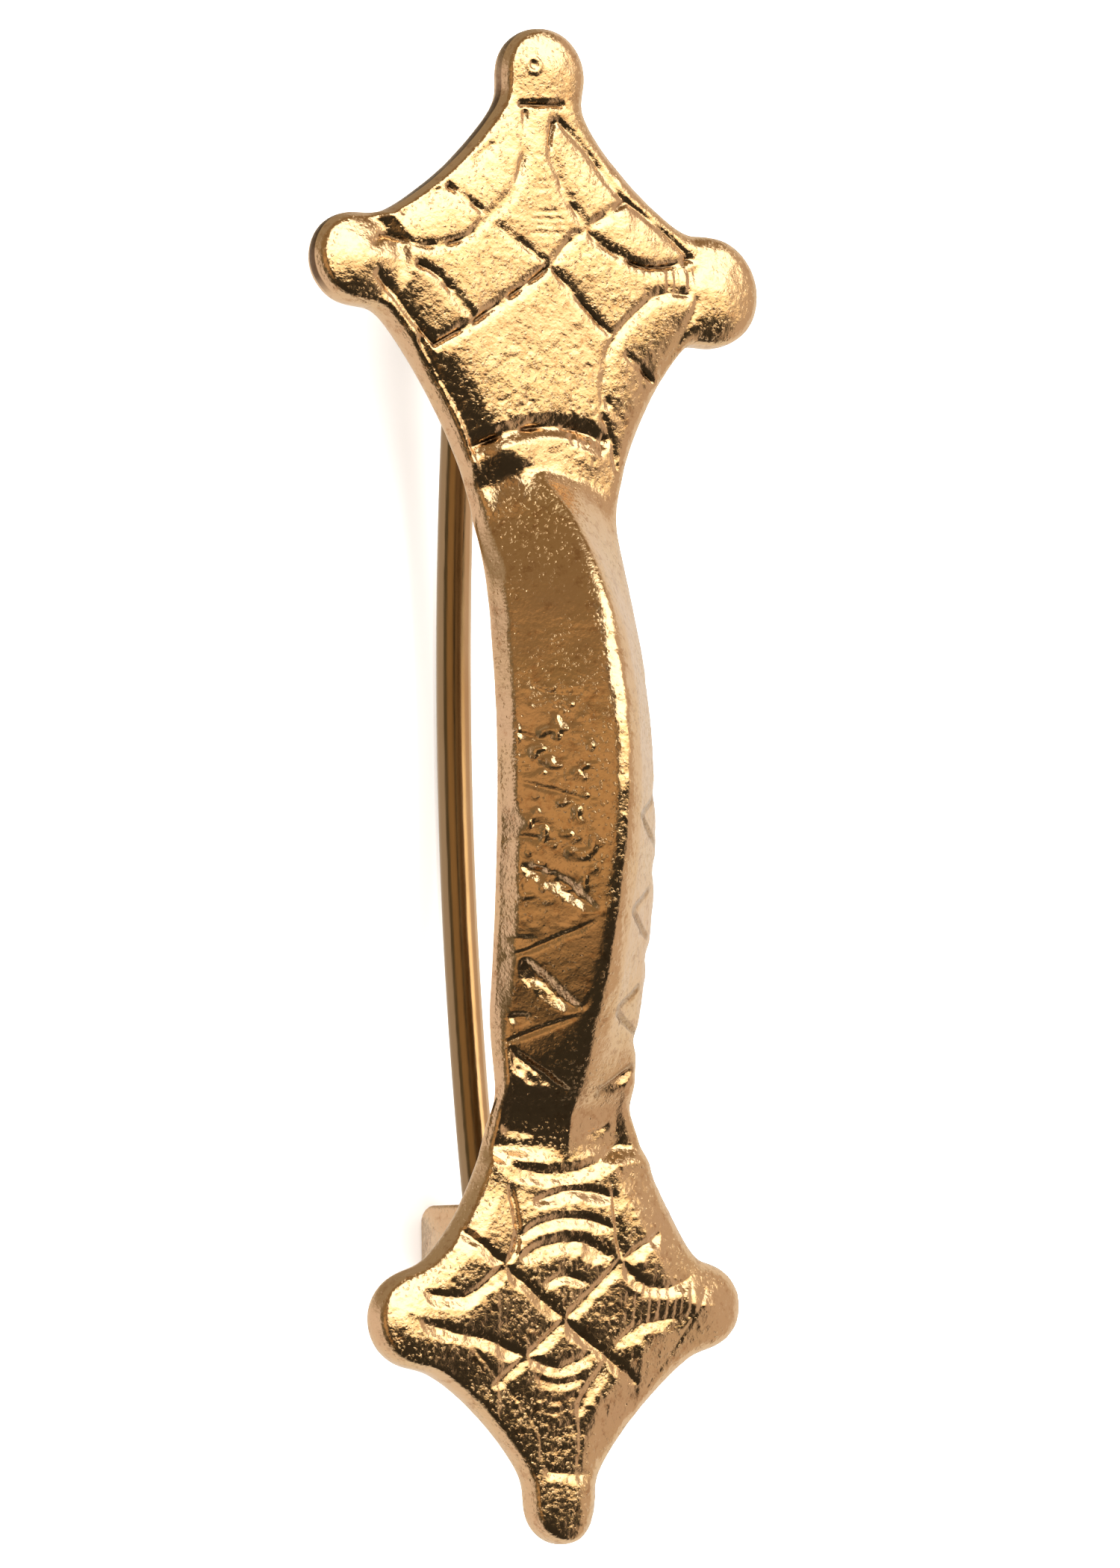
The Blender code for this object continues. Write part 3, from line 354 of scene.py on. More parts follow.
# Hatching: from, to, how many strokes, how long, their slant, their depth, seed
hatchings = [
    ((2.9, 21.7), (6.9, 21.8), 12, 1.3, 0.0, 0.018, 41),
    ((5.9, 21.9), (7.0, 21.9), 4, 0.8, 0.0, 0.06, 42),
    ((0.9, 14.75), (2.5, 14.35), 9, 0.7, 0.2, 0.07, 43),
    ((2.9, -22.9), (6.0, -22.6), 9, 1.3, 0.1, 0.035, 44),
    ((-0.2, 23.5), (-0.1, 24.4), 4, 1.5, 1.5, 0.02, 45),
    ((-0.2, 25.3), (-0.2, 26.9), 4, 0.8, 1.45, 0.012, 46),
    ((-0.4, -26.6), (-0.5, -28.8), 5, 1.2, 1.4, 0.02, 47),
]
carveShape = {"margin": 1.2, "crackDepth": 0.15, "crackHalf": 0.14, "hatchHalf": 0.16}


def sideOf(points, line):
    # Signed distance to a polyline, above zero on its left, and the share of the way along it.
    best = np.full(len(points), np.inf)
    signed = np.zeros(len(points))
    along = np.zeros(len(points))
    steps = np.diff(line, axis=0)
    for k, (start, step) in enumerate(zip(line[:-1], steps)):
        offset = points - start
        share = np.clip(offset @ step / (step @ step), 0.0, 1.0)
        gap = np.hypot(*(offset - share[:, None] * step).T)
        left = step[0] * offset[:, 1] - step[1] * offset[:, 0]
        closer = gap < best
        best[closer] = gap[closer]
        signed[closer] = np.where(left[closer] < 0.0, -gap[closer], gap[closer])
        along[closer] = (k + share[closer]) / len(steps)
    return signed, along


def nearCurve(points, curve, reach):  # which points lie in the box around a curve
    return np.all((points > curve.min(axis=0) - reach) & (points < curve.max(axis=0) + reach), axis=1)


def cutLines(points, height, strokes, seed):
    # Soft valleys with a ragged crack. It also gives how near the lines are and how deep the crack is.
    ragged = 1.0 + 0.30 * bumps(*points.T, 0.5, seed)
    opening = np.clip(0.6 + 1.5 * bumps(*points.T, 0.6, seed + 1), 0.0, 1.35)
    depth = np.zeros(len(points))
    crack = np.zeros(len(points))
    nearest = np.full(len(points), 9.0)
    for width, deep, cracked, line in strokes:
        curve = curveThrough(line)
        near = nearCurve(points, curve, width + carveShape["margin"])
        gap = distanceTo(points[near], curve)
        valley = 0.5 + 0.5 * np.cos(math.pi * np.clip(2.0 * gap / width, 0.0, 1.0))
        split = carveShape["crackDepth"] * cracked * opening[near]
        split = split * np.clip(1.0 - gap / (carveShape["crackHalf"] * ragged[near]), 0.0, 1.0) ** 0.8
        depth[near] = np.maximum(depth[near], deep * valley)
        crack[near] = np.maximum(crack[near], split)
        nearest[near] = np.minimum(nearest[near], np.maximum(gap - 0.25 * width, 0.0))
    return height - depth - crack, nearest, crack


def cutSlabs(points, height, strokes, steep, taper, seed):
    # Grooves with a flat and a steep wall, pointed at their ends.
    # It also gives how near they are and where the steep walls lie.
    ragged = 1.0 + waves(points, [(0.16, 0.55, seed), (0.10, 0.24, seed + 1)])
    depth = np.zeros(len(points))
    steepSide = np.zeros(len(points))
    nearest = np.full(len(points), 9.0)
    for flat, deep, line in strokes:
        curve = curveThrough(line)
        width = abs(flat)
        near = nearCurve(points, curve, width + carveShape["margin"])
        signed, along = sideOf(points[near], curve)
        signed = signed * (1.0 if flat > 0.0 else -1.0) + waves(points[near], [(0.03, 0.5, seed + 2)])
        lens = np.clip(4.0 * along * (1.0 - along) / taper, 0.0, 1.0) ** 0.5
        reach = width * ragged[near] * np.maximum(lens, 0.1)
        wall = np.clip(np.where(signed > 0.0, 1.0 - signed / reach, 1.0 + signed / (steep * width)), 0.0, 1.0)
        depth[near] = np.maximum(depth[near], deep * ragged[near] * wall * lens)
        steepSide[near] = np.maximum(steepSide[near], np.clip(-8.0 * signed, 0.0, 1.0) * (wall > 0.02) * lens)
        nearest[near] = np.minimum(nearest[near], np.maximum(np.abs(signed) - 0.5 * width, 0.0))
    return height - depth, nearest, steepSide


def hatching(points, first, last, count, length, slant, depth, seed):
    # Fine strokes side by side between two points.
    random = np.random.default_rng(seed)
    cut = np.zeros(len(points))
    first = np.array(first, float)
    last = np.array(last, float)
    for k in range(count):
        middle = first + (last - first) * (k + 0.25 * random.uniform(-1, 1)) / max(1, count - 1)
        half = 0.5 * length * (0.8 + 0.3 * random.uniform()) * np.array((math.sin(slant), math.cos(slant)))
        line = np.array((middle - half, middle + half))
        near = np.all(np.abs(points - middle) < length, axis=1)
        gap = distanceTo(points[near], line)
        cut[near] = np.maximum(cut[near], depth * (1.0 - np.clip(gap / carveShape["hatchHalf"], 0.0, 1.0)))
    return cut


def mound(points, x, y, reach):  # a soft bump of height 1 around a point
    gap = np.hypot(points[:, 0] - x, points[:, 1] - y)
    return 1.0 - softStep(gap, 0.0, reach)


handwork = {  # what casting, files and wear did to the face
    "crest": [(-15.0, 0.0), (-7.0, 0.0), (-2.0, 0.25), (3.0, 0.4), (6.0, 0.35), (9.0, 0.1), (11.0, -0.2),
              (13.0, -0.9)],
    "crestRound": 0.35, "roofSink": 0.35, "roofBlend": 0.35,
    "neckFall": 0.17, "keelFall": 0.22, "keelHalf": 2.6,
    "crestWear": 0.19, "crestWearReach": 0.9, "crestWearMiddle": 0.15,
    "trough": [(-6.9, 19.6), (-5.9, 17.7), (-5.1, 15.9), (-4.0, 13.8)], "troughDepth": 0.36,
    "troughReach": 1.6, "troughEnd": (12.6, 13.6), "troughFade": (-18.2, -15.8), "troughRim": (0.1, 0.5),
    "slopeWidth": 2.1, "slopeCurve": 1.1, "footSlope": 0.5, "headSlope": 0.13, "footLeftSlope": 0.2,
    "footLeftWidth": 1.0, "rightHalf": (0.3, 1.8), "leftHalf": (1.5, 2.8), "headPlate": (12.5, 14.5),
    "footPlate": (15.5, 17.5),
    "knobDome": 0.05, "knobTilt": 0.09, "knobTiltFrom": -0.6, "knobReach": (1.7, 2.4),
    "punch": (-0.62, 30.85), "punchDepth": 0.05, "punchRing": 0.3, "punchRim": 0.09, "punchDot": 0.16,
    "mounds": [(0.12, -2.2, 14.0, 1.5), (-0.20, -2.9, 12.75, 1.5)],  # height, place, reach
    # knobs bent a little by hand: slope along x and y, where it is level, place, reach
    "tilts": [((0.0, 0.16), (0.0, -23.1), (-7.4, -23.0), 3.6), ((0.13, 0.0), (6.8, 0.0), (7.6, -22.9), 2.8),
              ((0.0, 0.10), (0.0, 21.6), (8.6, 20.8), 5.0)],
    "cushion": 0.03, "cushionEdge": 0.45, "softSide": (-2.0, 2.0), "crispCurve": 1.15,
    "flankBulge": 0.1, "flankWidth": 2.6, "facet": 0.34, "facetWaves": [(0.12, 1.1, 67)], "facetDrop": 1.2,
    "lineSoil": 0.085, "lineSoilHalf": 0.1, "lineSoilFrom": (0.6, 1.1), "lineSoilEnd": (-15.0, -14.0),
    # the painted shade on the steep sides of the slabs
    "slabShade": 0.13, "slabShadeFrom": (-0.3, 0.1),
    # stretches along the brooch: start, full, fading, gone
    "neck": (8.0, 11.0, 12.2, 13.6), "keel": (-16.8, -15.8, -14.6, -13.2),
    "wornBow": (-13.5, -10.0, 4.8, 8.0), "headBorder": (12.5, 14.5, 21.0, 25.0),
    "footLeftBorder": (-25.5, -23.5, -17.0, -15.0), "flank": (-13.0, -8.0, 9.5, 12.5),
}
castSkin = {  # waves have height, size and seed; beads have height, size, the level they rise above, and seed
    "all": [(0.020, 1.7, 51), (0.010, 0.62, 52), (0.008, 0.24, 53)],
    "bow": [(0.05, 2.6, 58), (0.032, 0.9, 59)], "bowBeads": (0.06, 0.17, 0.5, 68),
    "bowGrain": [(0.012, 0.22, 65)], "bowPatches": [(1.0, 1.5, 66)], "bowPatchRange": (-0.3, 0.5),
    "neck": (11.5, 13.5, 16.5, 20.5), "neckPatches": [(1.0, 1.3, 60)], "neckPatchRange": (-0.5, 0.3),
    "neckGrain": [(0.014, 0.33, 54)], "worms": [(1.0, 0.36, 55), (0.3, 0.15, 54)],
    "wormHalf": 0.2, "wormDepth": 0.028,
    "worn": (-2.2, -1.5), "wornAcross": (0.7, 1.7), "wornAlong": (2.5, 6.5),
    "wornBeads": (0.27, 0.26, 0.2, 56), "wornGrain": [(0.05, 0.5, 63)],
    "foot": (15.0, 17.0), "footBeads": (0.07, 0.2, 0.52, 57), "footGrain": [(0.006, 0.2, 64)],
}


def faceOver(points, edgeDistance):  # height of the carved face over the table, and its darkening: soil in its lines and painted shade on the slabs' steep sides
    c = casting
    h = handwork
    s = castSkin
    x, y = points.T
    low = lift(y)
    crest = np.interp(y, *np.array(h["crest"]).T)
    across = np.sqrt((x - crest) ** 2 + h["crestRound"] ** 2) - h["crestRound"]
    ridge = arch(y, c["bowFootEnd"], c["bowHeadEnd"], c["ridgeRise"])
    share = 1.0 - np.clip(across / (halfWidth(y) + np.where(x < crest, crest, -crest)), 0.0, 1.0)
    roof = low - h["roofSink"] + (ridge - low + h["roofSink"]) * share
    dome = 1.0 - (1.0 - np.clip(edgeDistance / c["ankleHalf"], 0.0, 1.0)) ** 2
    height = softMax(low + crown(y) * dome, roof, h["roofBlend"])

    # The left side of the neck falls away, and the crest runs out over the ankle as a low keel.
    height -= h["neckFall"] * zone(y, *h["neck"]) * np.maximum(crest - x, 0.0)
    height -= h["keelFall"] * zone(y, *h["keel"]) * np.minimum(np.abs(x), h["keelHalf"])

    # On the bow the crest is worn flat, wider on its right side.
    onBow = zone(y, *h["wornBow"])
    fromCrest = np.abs(x - crest - h["crestWearMiddle"])
    height -= h["crestWear"] * onBow * (1.0 - softStep(fromCrest, 0.0, h["crestWearReach"]))

    # The trough inside the head's lower left edge, with the field that sinks towards it.
    gap = distanceTo(points, curveThrough(h["trough"]))
    sunken = (1.0 - softStep(gap, 0.0, h["troughReach"])) * softStep(y, *h["troughEnd"])
    sunken = sunken * (0.1 + 0.9 * softStep(-y, *h["troughFade"])) * softStep(edgeDistance, *h["troughRim"])
    height -= h["troughDepth"] * sunken

    # The borders slope away, most of all on the foot's right side.
    onHead = softStep(y, *h["headPlate"])
    onFoot = softStep(-y, *h["footPlate"])
    slope = (1.0 - np.clip(edgeDistance / h["slopeWidth"], 0.0, 1.0)) ** h["slopeCurve"]
    slope = slope * softStep(x, *h["rightHalf"])
    height -= slope * (h["footSlope"] * onFoot + h["headSlope"] * zone(y, *h["headBorder"]))
    border = (1.0 - np.clip(edgeDistance / h["footLeftWidth"], 0.0, 1.0)) * softStep(-x, *h["leftHalf"])
    height -= h["footLeftSlope"] * border * zone(y, *h["footLeftBorder"])

    # The head's left knob is domed, and its tip has a small punched ring.
    knob = np.hypot(x - c["headLeft"][0], y - c["headSideY"])
    domed = h["knobDome"] * knob ** 2 + h["knobTilt"] * (y - c["headSideY"] - h["knobTiltFrom"])
    height -= domed * (1.0 - softStep(knob, *h["knobReach"]))
    ring = np.hypot(x - h["punch"][0], y - h["punch"][1])
    rim = np.exp(-((ring - h["punchRing"]) / h["punchRim"]) ** 2)
    height += h["punchDepth"] * (rim - np.exp(-(ring / h["punchDot"]) ** 2))
    for high, middleX, middleY, reach in h["mounds"]:
        height += high * mound(points, middleX, middleY, reach)
    for (alongX, alongY), (levelX, levelY), (middleX, middleY), reach in h["tilts"]:
        height -= (alongX * (x - levelX) + alongY * (y - levelY)) * mound(points, middleX, middleY, reach)

    height, nearHead, soilHead = cutLines(points, height, headCarving, seed=11)
    height, _, soilScratch = cutLines(points, height, footScratches, seed=15)
    height, nearFoot, _ = cutSlabs(points, height, footCarving, steep=0.45, taper=0.5, seed=21)
    height, nearZigzag, steepSide = cutSlabs(points, height, bowCarving, steep=0.2, taper=0.9, seed=31)

    # Fields between the lines stand up like flat cushions, some of them finely hatched.
    nearest = np.minimum(np.minimum(nearHead, nearFoot), edgeDistance)
    height += h["cushion"] * np.clip(onHead + onFoot, 0.0, 1.0) * (1.0 - np.exp(-nearest / h["cushionEdge"]))
    for hatch in hatchings:
        height -= hatching(points, *hatch)

    # Casting skin: slow waves left by filing, rougher on the bow, the neck, the worn zigzag and the foot.
    height += waves(points, s["all"]) + onBow * (waves(points, s["bow"]) + beads(points, *s["bowBeads"]))
    neckSkin = zone(y, *s["neck"]) * softStep(waves(points, s["neckPatches"]), *s["neckPatchRange"])
    worms = np.clip(1.0 - np.abs(waves(points, s["worms"])) / s["wormHalf"], 0.0, 1.0)
    height += neckSkin * (waves(points, s["neckGrain"]) - s["wormDepth"] * worms)
    worn = 1.0 - softStep(np.abs(y - s["worn"][1]), *s["wornAlong"])
    worn = worn * (1.0 - softStep(np.abs(x - s["worn"][0]), *s["wornAcross"]))
    height += worn * (beads(points, *s["wornBeads"]) + waves(points, s["wornGrain"]))
    height += softStep(-y, *s["foot"]) * (beads(points, *s["footBeads"]) + waves(points, s["footGrain"]))
    rough = softStep(waves(points, s["bowPatches"]), *s["bowPatchRange"])
    height += onBow * waves(points, s["bowGrain"]) * rough

    # The rim rolls over to the wall: crisp on the left, soft on the right.
    softSide = softStep(x, *h["softSide"])
    crisp = np.clip(1.0 - edgeDistance / c["crispEdge"], 0.0, 1.0) ** h["crispCurve"]
    roll = np.clip(1.0 - edgeDistance / c["edgeRound"], 0.0, 1.0)
    soft = 1.0 - np.sqrt(np.maximum(1.0 - roll ** 2, 0.0))
    flank = zone(y, *h["flank"]) * (1.0 - softSide)
    height -= c["edgeDrop"] * (crisp + (soft - crisp) * softSide) * (1.0 - flank)

    # The bow's left flank swells a little and then turns down in a narrow facet.
    facet = h["facet"] + waves(points, h["facetWaves"])
    swell = softStep(edgeDistance, 0.0, facet) * (1.0 - softStep(edgeDistance, facet, h["flankWidth"]))
    height += h["flankBulge"] * flank * swell
    height -= h["facetDrop"] * c["edgeDrop"] * flank * np.clip(1.0 - edgeDistance / facet, 0.0, 1.0)

    # Soil in the zigzag of the bow's right face, and painted shade on the steep sides of the slabs on its
    # left one.
    lineSoil = h["lineSoil"] * np.clip(1.0 - nearZigzag / h["lineSoilHalf"], 0.0, 1.0)
    lineSoil = lineSoil * softStep(x, *h["lineSoilFrom"]) * softStep(y, *h["lineSoilEnd"])
    slabShade = h["slabShade"] * steepSide * softStep(-x, *h["slabShadeFrom"])
    return faceHeight + height, soilHead + soilScratch + np.maximum(lineSoil, slabShade)


def backOver(points, edgeDistance):  # height of the plain back over the table
    c = casting
    y = points[:, 1]
    inner = 1.0 - (1.0 - np.clip(edgeDistance / c["ankleHalf"], 0.0, 1.0)) ** 2
    bow = zone(y, c["ankleY"], c["ankleY"] + c["ankleHalf"], c["neckY"] - c["neckHalf"], c["neckY"])
    narrow = zone(y, c["bowFootEnd"], c["ankleY"], c["neckY"] - 0.5 * c["neckHalf"], c["neckY"])
    thickness = c["thickness"] + (c["bowEdge"] - c["thickness"]) * narrow
    filed = waves(points, [(0.02, 2.3, 61), (0.006, 0.7, 62)])
    return faceHeight - thickness + lift(y) + c["bowHollow"] * bow * inner + filed


def latticeInside(loop, step, margin):  # points in rows inside the loop, clear of its rim
    low = loop.min(axis=0)
    high = loop.max(axis=0)
    rows = np.arange(low[1], high[1], step * math.sqrt(0.75))
    grid = []
    for k, y in enumerate(rows):
        crossings = []
        for a, b in zip(loop, np.roll(loop, -1, axis=0)):
            if (a[1] > y) != (b[1] > y):
                crossings.append(a[0] + (y - a[1]) * (b[0] - a[0]) / (b[1] - a[1]))
        crossings.sort()
        xs = np.arange(low[0] + 0.5 * step * (k % 2), high[0], step)
        for left, right in zip(crossings[::2], crossings[1::2]):
            inside = xs[(xs > left + margin) & (xs < right - margin)]
            grid.append(np.column_stack((inside, np.full(len(inside), y))))
    grid = np.vstack(grid)
    return grid[distanceTo(grid, loop[::3], closed=True) > margin]


def sheetInside(loops, lattice):
    # Triangles over nested loops and a lattice, and the order of the outermost loop.
    points = np.vstack(loops + [lattice])
    edges = []
    first = 0
    for loop in loops:
        count = len(loop)
        edges += [(first + k, first + (k + 1) % count) for k in range(count)]
        first += count
    rim = list(range(len(loops[0])))
    result = geometry.delaunay_2d_cdt([Vector(p) for p in points], edges, [rim], 1, 1e-5)
    order = {}
    for index, sources in enumerate(result[3]):
        for source in sources:
            if source < len(rim):
                order[source] = index
    return np.array([tuple(v) for v in result[0]]), result[2], [order[k] for k in rim]


def broochBody(material):
    c = casting
    outline = broochOutline(c["step"] * 1.15)
    out = outward(outline)
    rings = [outline] + [outline - inset * out for inset in c["rimRings"]]
    face, faceTriangles, faceRim = sheetInside(rings, latticeInside(outline, c["step"], c["rimGap"]))
    edgeDistance = distanceTo(face, outline[::2], closed=True)
    edgeDistance[faceRim] = 0.0
    top, faceSoilAndShade = faceOver(face, edgeDistance)
    print("face", len(face), "points")

    backRim = outline - c["backInset"] * out
    backLattice = latticeInside(backRim, c["backStep"], c["backGap"])
    back, backTriangles, backOrder = sheetInside([backRim], backLattice)
    bottom = backOver(back, distanceTo(back, outline[::2], closed=True))

    # The wall between them, a little proud in the middle and rounded below.
    count = len(outline)
    upper = top[faceRim]
    lower = bottom[backOrder]
    wall = []
    for share, proud in c["wallRows"]:
        along = np.column_stack((np.arange(count) * c["step"], np.full(count, share)))
        ring = outline + (proud + waves(along, c["wallWaves"]))[:, None] * out
        wall.append(np.column_stack((ring, upper + (lower - upper) * share)))

    verts = np.vstack([np.column_stack((face, top))] + wall + [np.column_stack((back, bottom))])
    wallStart = len(face)
    backStart = wallStart + len(wall) * count
    faces = [list(t) for t in faceTriangles]
    faces += [[backStart + k for k in reversed(t)] for t in backTriangles]
    rows = [faceRim] + [list(range(start, start + count)) for start in range(wallStart, backStart, count)]
    rows.append([backStart + k for k in backOrder])
    for above, below in zip(rows[:-1], rows[1:]):
        for k in range(count):
            following = (k + 1) % count
            faces.append([above[k], below[k], below[following], above[following]])
    body = pieceFromMesh("brooch_casting", verts, faces, material)

    # Where the colour darkens: soil in the cut lines, and painted shade on the steep sides of the bow's
    # slabs, on the back (together with its tarnish) and high on the head's upper left wall.
    soilAndShadeLayer = body.data.attributes.new("cut", "FLOAT", "POINT")
    values = np.zeros(len(verts), np.float32)
    values[:len(face)] = faceSoilAndShade
    # Painted shade on the back: darkened for the shade under the brooch, together with its tarnish.
    values[backStart:] = c["backShadeAndTarnish"]
    # Painted shade: the upper rows of the wall that faces left and a little up, high on the head, are
    # darkened.
    shaded = np.clip(-out[:, 0] + 0.3 * out[:, 1], 0.0, 1.0) * (outline[:, 1] > c["shadedFrom"])
    for row in range(c["shadedRows"]):
        start = wallStart + row * count
        values[start:start + count] = c["wallShade"] * shaded * (1.0 + waves(outline, c["wallShadeWaves"]))
    soilAndShadeLayer.data.foreach_set("value", values)
    print("casting", len(verts), "points", len(faces), "faces")
    return body


# Hinge cheeks and catch, cast in one with the body

hinge = {
    "rivetY": 23.8, "rivetRadius": 0.62, "wireRadius": 0.775, "eyeClearance": 0.06, "sideGap": 0.15,
    "cheekThickness": 1.5, "cheekLength": 4.0, "cheekCorner": 0.8, "root": 0.5, "edge": 0.16,
}
pinShape = {
    "groundGap": 0.25, "lowY": 1.7, "bend": 120.0, "tipY": -24.8, "taper": 3.4, "point": 0.16, "eyeTurn": 250,
    "sides": 36, "step": 0.4, "tipRows": 24, "eyeRows": 60,
    "tipRound": [(-0.10, 0.55), (-0.04, 0.85)], "endRound": [(0.04, 0.02), (0.08, 0.09)],
}
catchShape = {"nearY": -18.3, "length": 3.2, "half": 1.65, "webHalf": 1.1, "shoulder": 2.4,
              "seatClearance": 0.08, "mouthBite": 0.05, "corner": 1.1, "edge": 0.2,
              "trimRoom": 1.0, "trimTop": 12.0, "trimHalf": 3.0}


def pinHeight(y):
    p = pinShape
    middle = p["groundGap"] + hinge["wireRadius"] + p["bend"]
    return middle - math.sqrt(p["bend"] ** 2 - (y - p["lowY"]) ** 2)


def eyeRadius():
    return hinge["rivetRadius"] + hinge["eyeClearance"] + hinge["wireRadius"]


def rivetHeight():
    p = pinShape
    middle = p["groundGap"] + hinge["wireRadius"] + p["bend"]
    return middle - math.sqrt((p["bend"] - eyeRadius()) ** 2 - (hinge["rivetY"] - p["lowY"]) ** 2)


def drawnOut(name, profile, axis, low, high, material):  # a closed bar with this side profile, along x or y
    profile = np.array(profile)
    count = len(profile)
    if axis == "x":
        ends = [np.column_stack((np.full(count, v), profile)) for v in (low, high)]
    else:
        ends = [np.column_stack((profile[:, 0], np.full(count, v), profile[:, 1])) for v in (low, high)]
    faces = [list(range(count)), [count + k for k in reversed(range(count))]]
    faces += [[k, count + k, count + (k + 1) % count, (k + 1) % count] for k in range(count)]
    bar = pieceFromMesh(name, np.vstack(ends), faces, material, smooth=False)
    area = sum(p[0] * q[1] - q[0] * p[1] for p, q in zip(profile, np.roll(profile, -1, axis=0)))
    if (area > 0) != (axis == "y"):
        bar.data.flip_normals()
    return bar


def roundedEdges(piece, width):
    bevel = piece.modifiers.new("filed edges", "BEVEL")
    bevel.width = width * mm
    bevel.segments = 4
    bevel.limit_method = "ANGLE"
    bevel.angle_limit = math.radians(35)
    bevel.use_clamp_overlap = True
    piece.data.shade_smooth()
    piece.data.set_sharp_from_angle(angle=math.radians(60))


def quarter(x, y, radius, first, last, count=7):
    angles = np.radians(np.linspace(first, last, count))
    return [(x + radius * math.cos(a), y + radius * math.sin(a)) for a in angles]


def hingeCheeks(material):
    h = hinge
    near = h["rivetY"] - 0.5 * h["cheekLength"]
    far = h["rivetY"] + 0.5 * h["cheekLength"]
    under = faceHeight - casting["thickness"] + 0.1
    r = h["cheekCorner"]
    profile = quarter(near + r, r, r, 180, 270) + quarter(far - r, r, r, 270, 360)
    profile += quarter(far + h["root"], under - h["root"], h["root"], 180, 90)
    profile += quarter(near - h["root"], under - h["root"], h["root"], 90, 0)
    inner = h["wireRadius"] + h["sideGap"]
    outer = inner + h["cheekThickness"]
    cheeks = []
    for name, low, high in (("brooch_cheek_left", -outer, -inner), ("brooch_cheek_right", inner, outer)):
        cheek = drawnOut(name, profile, "x", low, high, material)
        roundedEdges(cheek, h["edge"])
        cheeks.append(cheek)
    return cheeks


def pinCatch(material):
    c = catchShape
    seatY = c["nearY"] - 0.5 * c["length"]
    seatZ = pinHeight(seatY)
    seatRadius = hinge["wireRadius"] + c["seatClearance"]
    slope = abs(pinHeight(c["nearY"]) - pinHeight(c["nearY"] - c["length"]))
    under = faceHeight - casting["thickness"] + 0.15
    shoulder = seatZ + seatRadius + c["shoulder"]
    bevel = c["half"] - c["webHalf"]
    mouth = hinge["wireRadius"] - c["mouthBite"]
    start = math.degrees(math.asin(mouth / seatRadius)) - 90.0
    seat = quarter(0.0, seatZ, seatRadius, start, 180.0 - start, 32)
    seat = [(x, z + (0.5 * slope if z > seatZ else -0.5 * slope)) for x, z in seat]
    right = [(c["half"] - 0.3 * bevel, 0.0), (c["half"], 0.5 * bevel), (c["half"], shoulder - 2.0 * bevel)]
    right += [(c["webHalf"] + 0.12, shoulder - 0.5 * bevel), (c["webHalf"], shoulder + 0.4)]
    right += [(c["webHalf"], under - 0.5), (c["webHalf"] + 0.35, under)]
    profile = [(mouth, 0.0)] + right + [(-x, z) for x, z in reversed(right)] + [(-mouth, 0.0)] + seat[::-1]
    far = c["nearY"] - c["length"]
    catch = drawnOut("brooch_catch", profile, "y", far, c["nearY"], material)
    r = c["corner"]
    room = c["trimRoom"]
    side = quarter(c["nearY"] - r, r, r, -90, 0) + [(c["nearY"] + room, r)]
    side += [(c["nearY"] + room, c["trimTop"]), (far - room, c["trimTop"]), (far - room, 0.0)]
    trim = drawnOut("catch_trim", side, "x", -c["trimHalf"], c["trimHalf"], material)
    cut = catch.modifiers.new("rounded corner", "BOOLEAN")
    cut.operation = "INTERSECT"
    cut.solver = "EXACT"
    cut.object = trim
    roundedEdges(catch, c["edge"])
    bpy.context.view_layer.update()
    final = bpy.data.meshes.new_from_object(catch.evaluated_get(bpy.context.evaluated_depsgraph_get()))
    catch.modifiers.clear()
    catch.data = final
    bpy.data.objects.remove(trim, do_unlink=True)
    return catch


# Pin and rivet

def pinLine():  # the wire's middle line in y and z with its radius, from the point to the end of the eye
    p = pinShape
    middle = p["groundGap"] + hinge["wireRadius"] + p["bend"]
    last = math.asin((hinge["rivetY"] - p["lowY"]) / (p["bend"] - eyeRadius()))
    first = math.asin((p["tipY"] - p["lowY"]) / p["bend"])
    full = math.asin((p["tipY"] + p["taper"] - p["lowY"]) / p["bend"])
    angles = list(np.linspace(first, full, p["tipRows"]))
    angles += list(np.linspace(full, last, int((last - full) * p["bend"] / p["step"])))[1:]
    line = []
    for angle in angles:
        share = min(1.0, (angle - first) / (full - first))
        radius = p["point"] + (hinge["wireRadius"] - p["point"]) * math.sin(0.5 * math.pi * share)
        line.append((p["lowY"] + p["bend"] * math.sin(angle), middle - p["bend"] * math.cos(angle), radius))
    for k in range(1, p["eyeRows"] + 1):
        angle = last + math.radians(p["eyeTurn"]) * k / p["eyeRows"]
        y = hinge["rivetY"] + eyeRadius() * math.sin(angle)
        line.append((y, rivetHeight() - eyeRadius() * math.cos(angle), hinge["wireRadius"]))
    return np.array(line)


def tubeFaces(rows, sides):  # a closed skin over rings of points
    faces = []
    for row in range(rows - 1):
        for k in range(sides):
            one = row * sides + k
            two = row * sides + (k + 1) % sides
            faces.append((one, two, two + sides, one + sides))
    faces.append(tuple(reversed(range(sides))))
    faces.append(tuple(range((rows - 1) * sides, rows * sides)))
    return faces


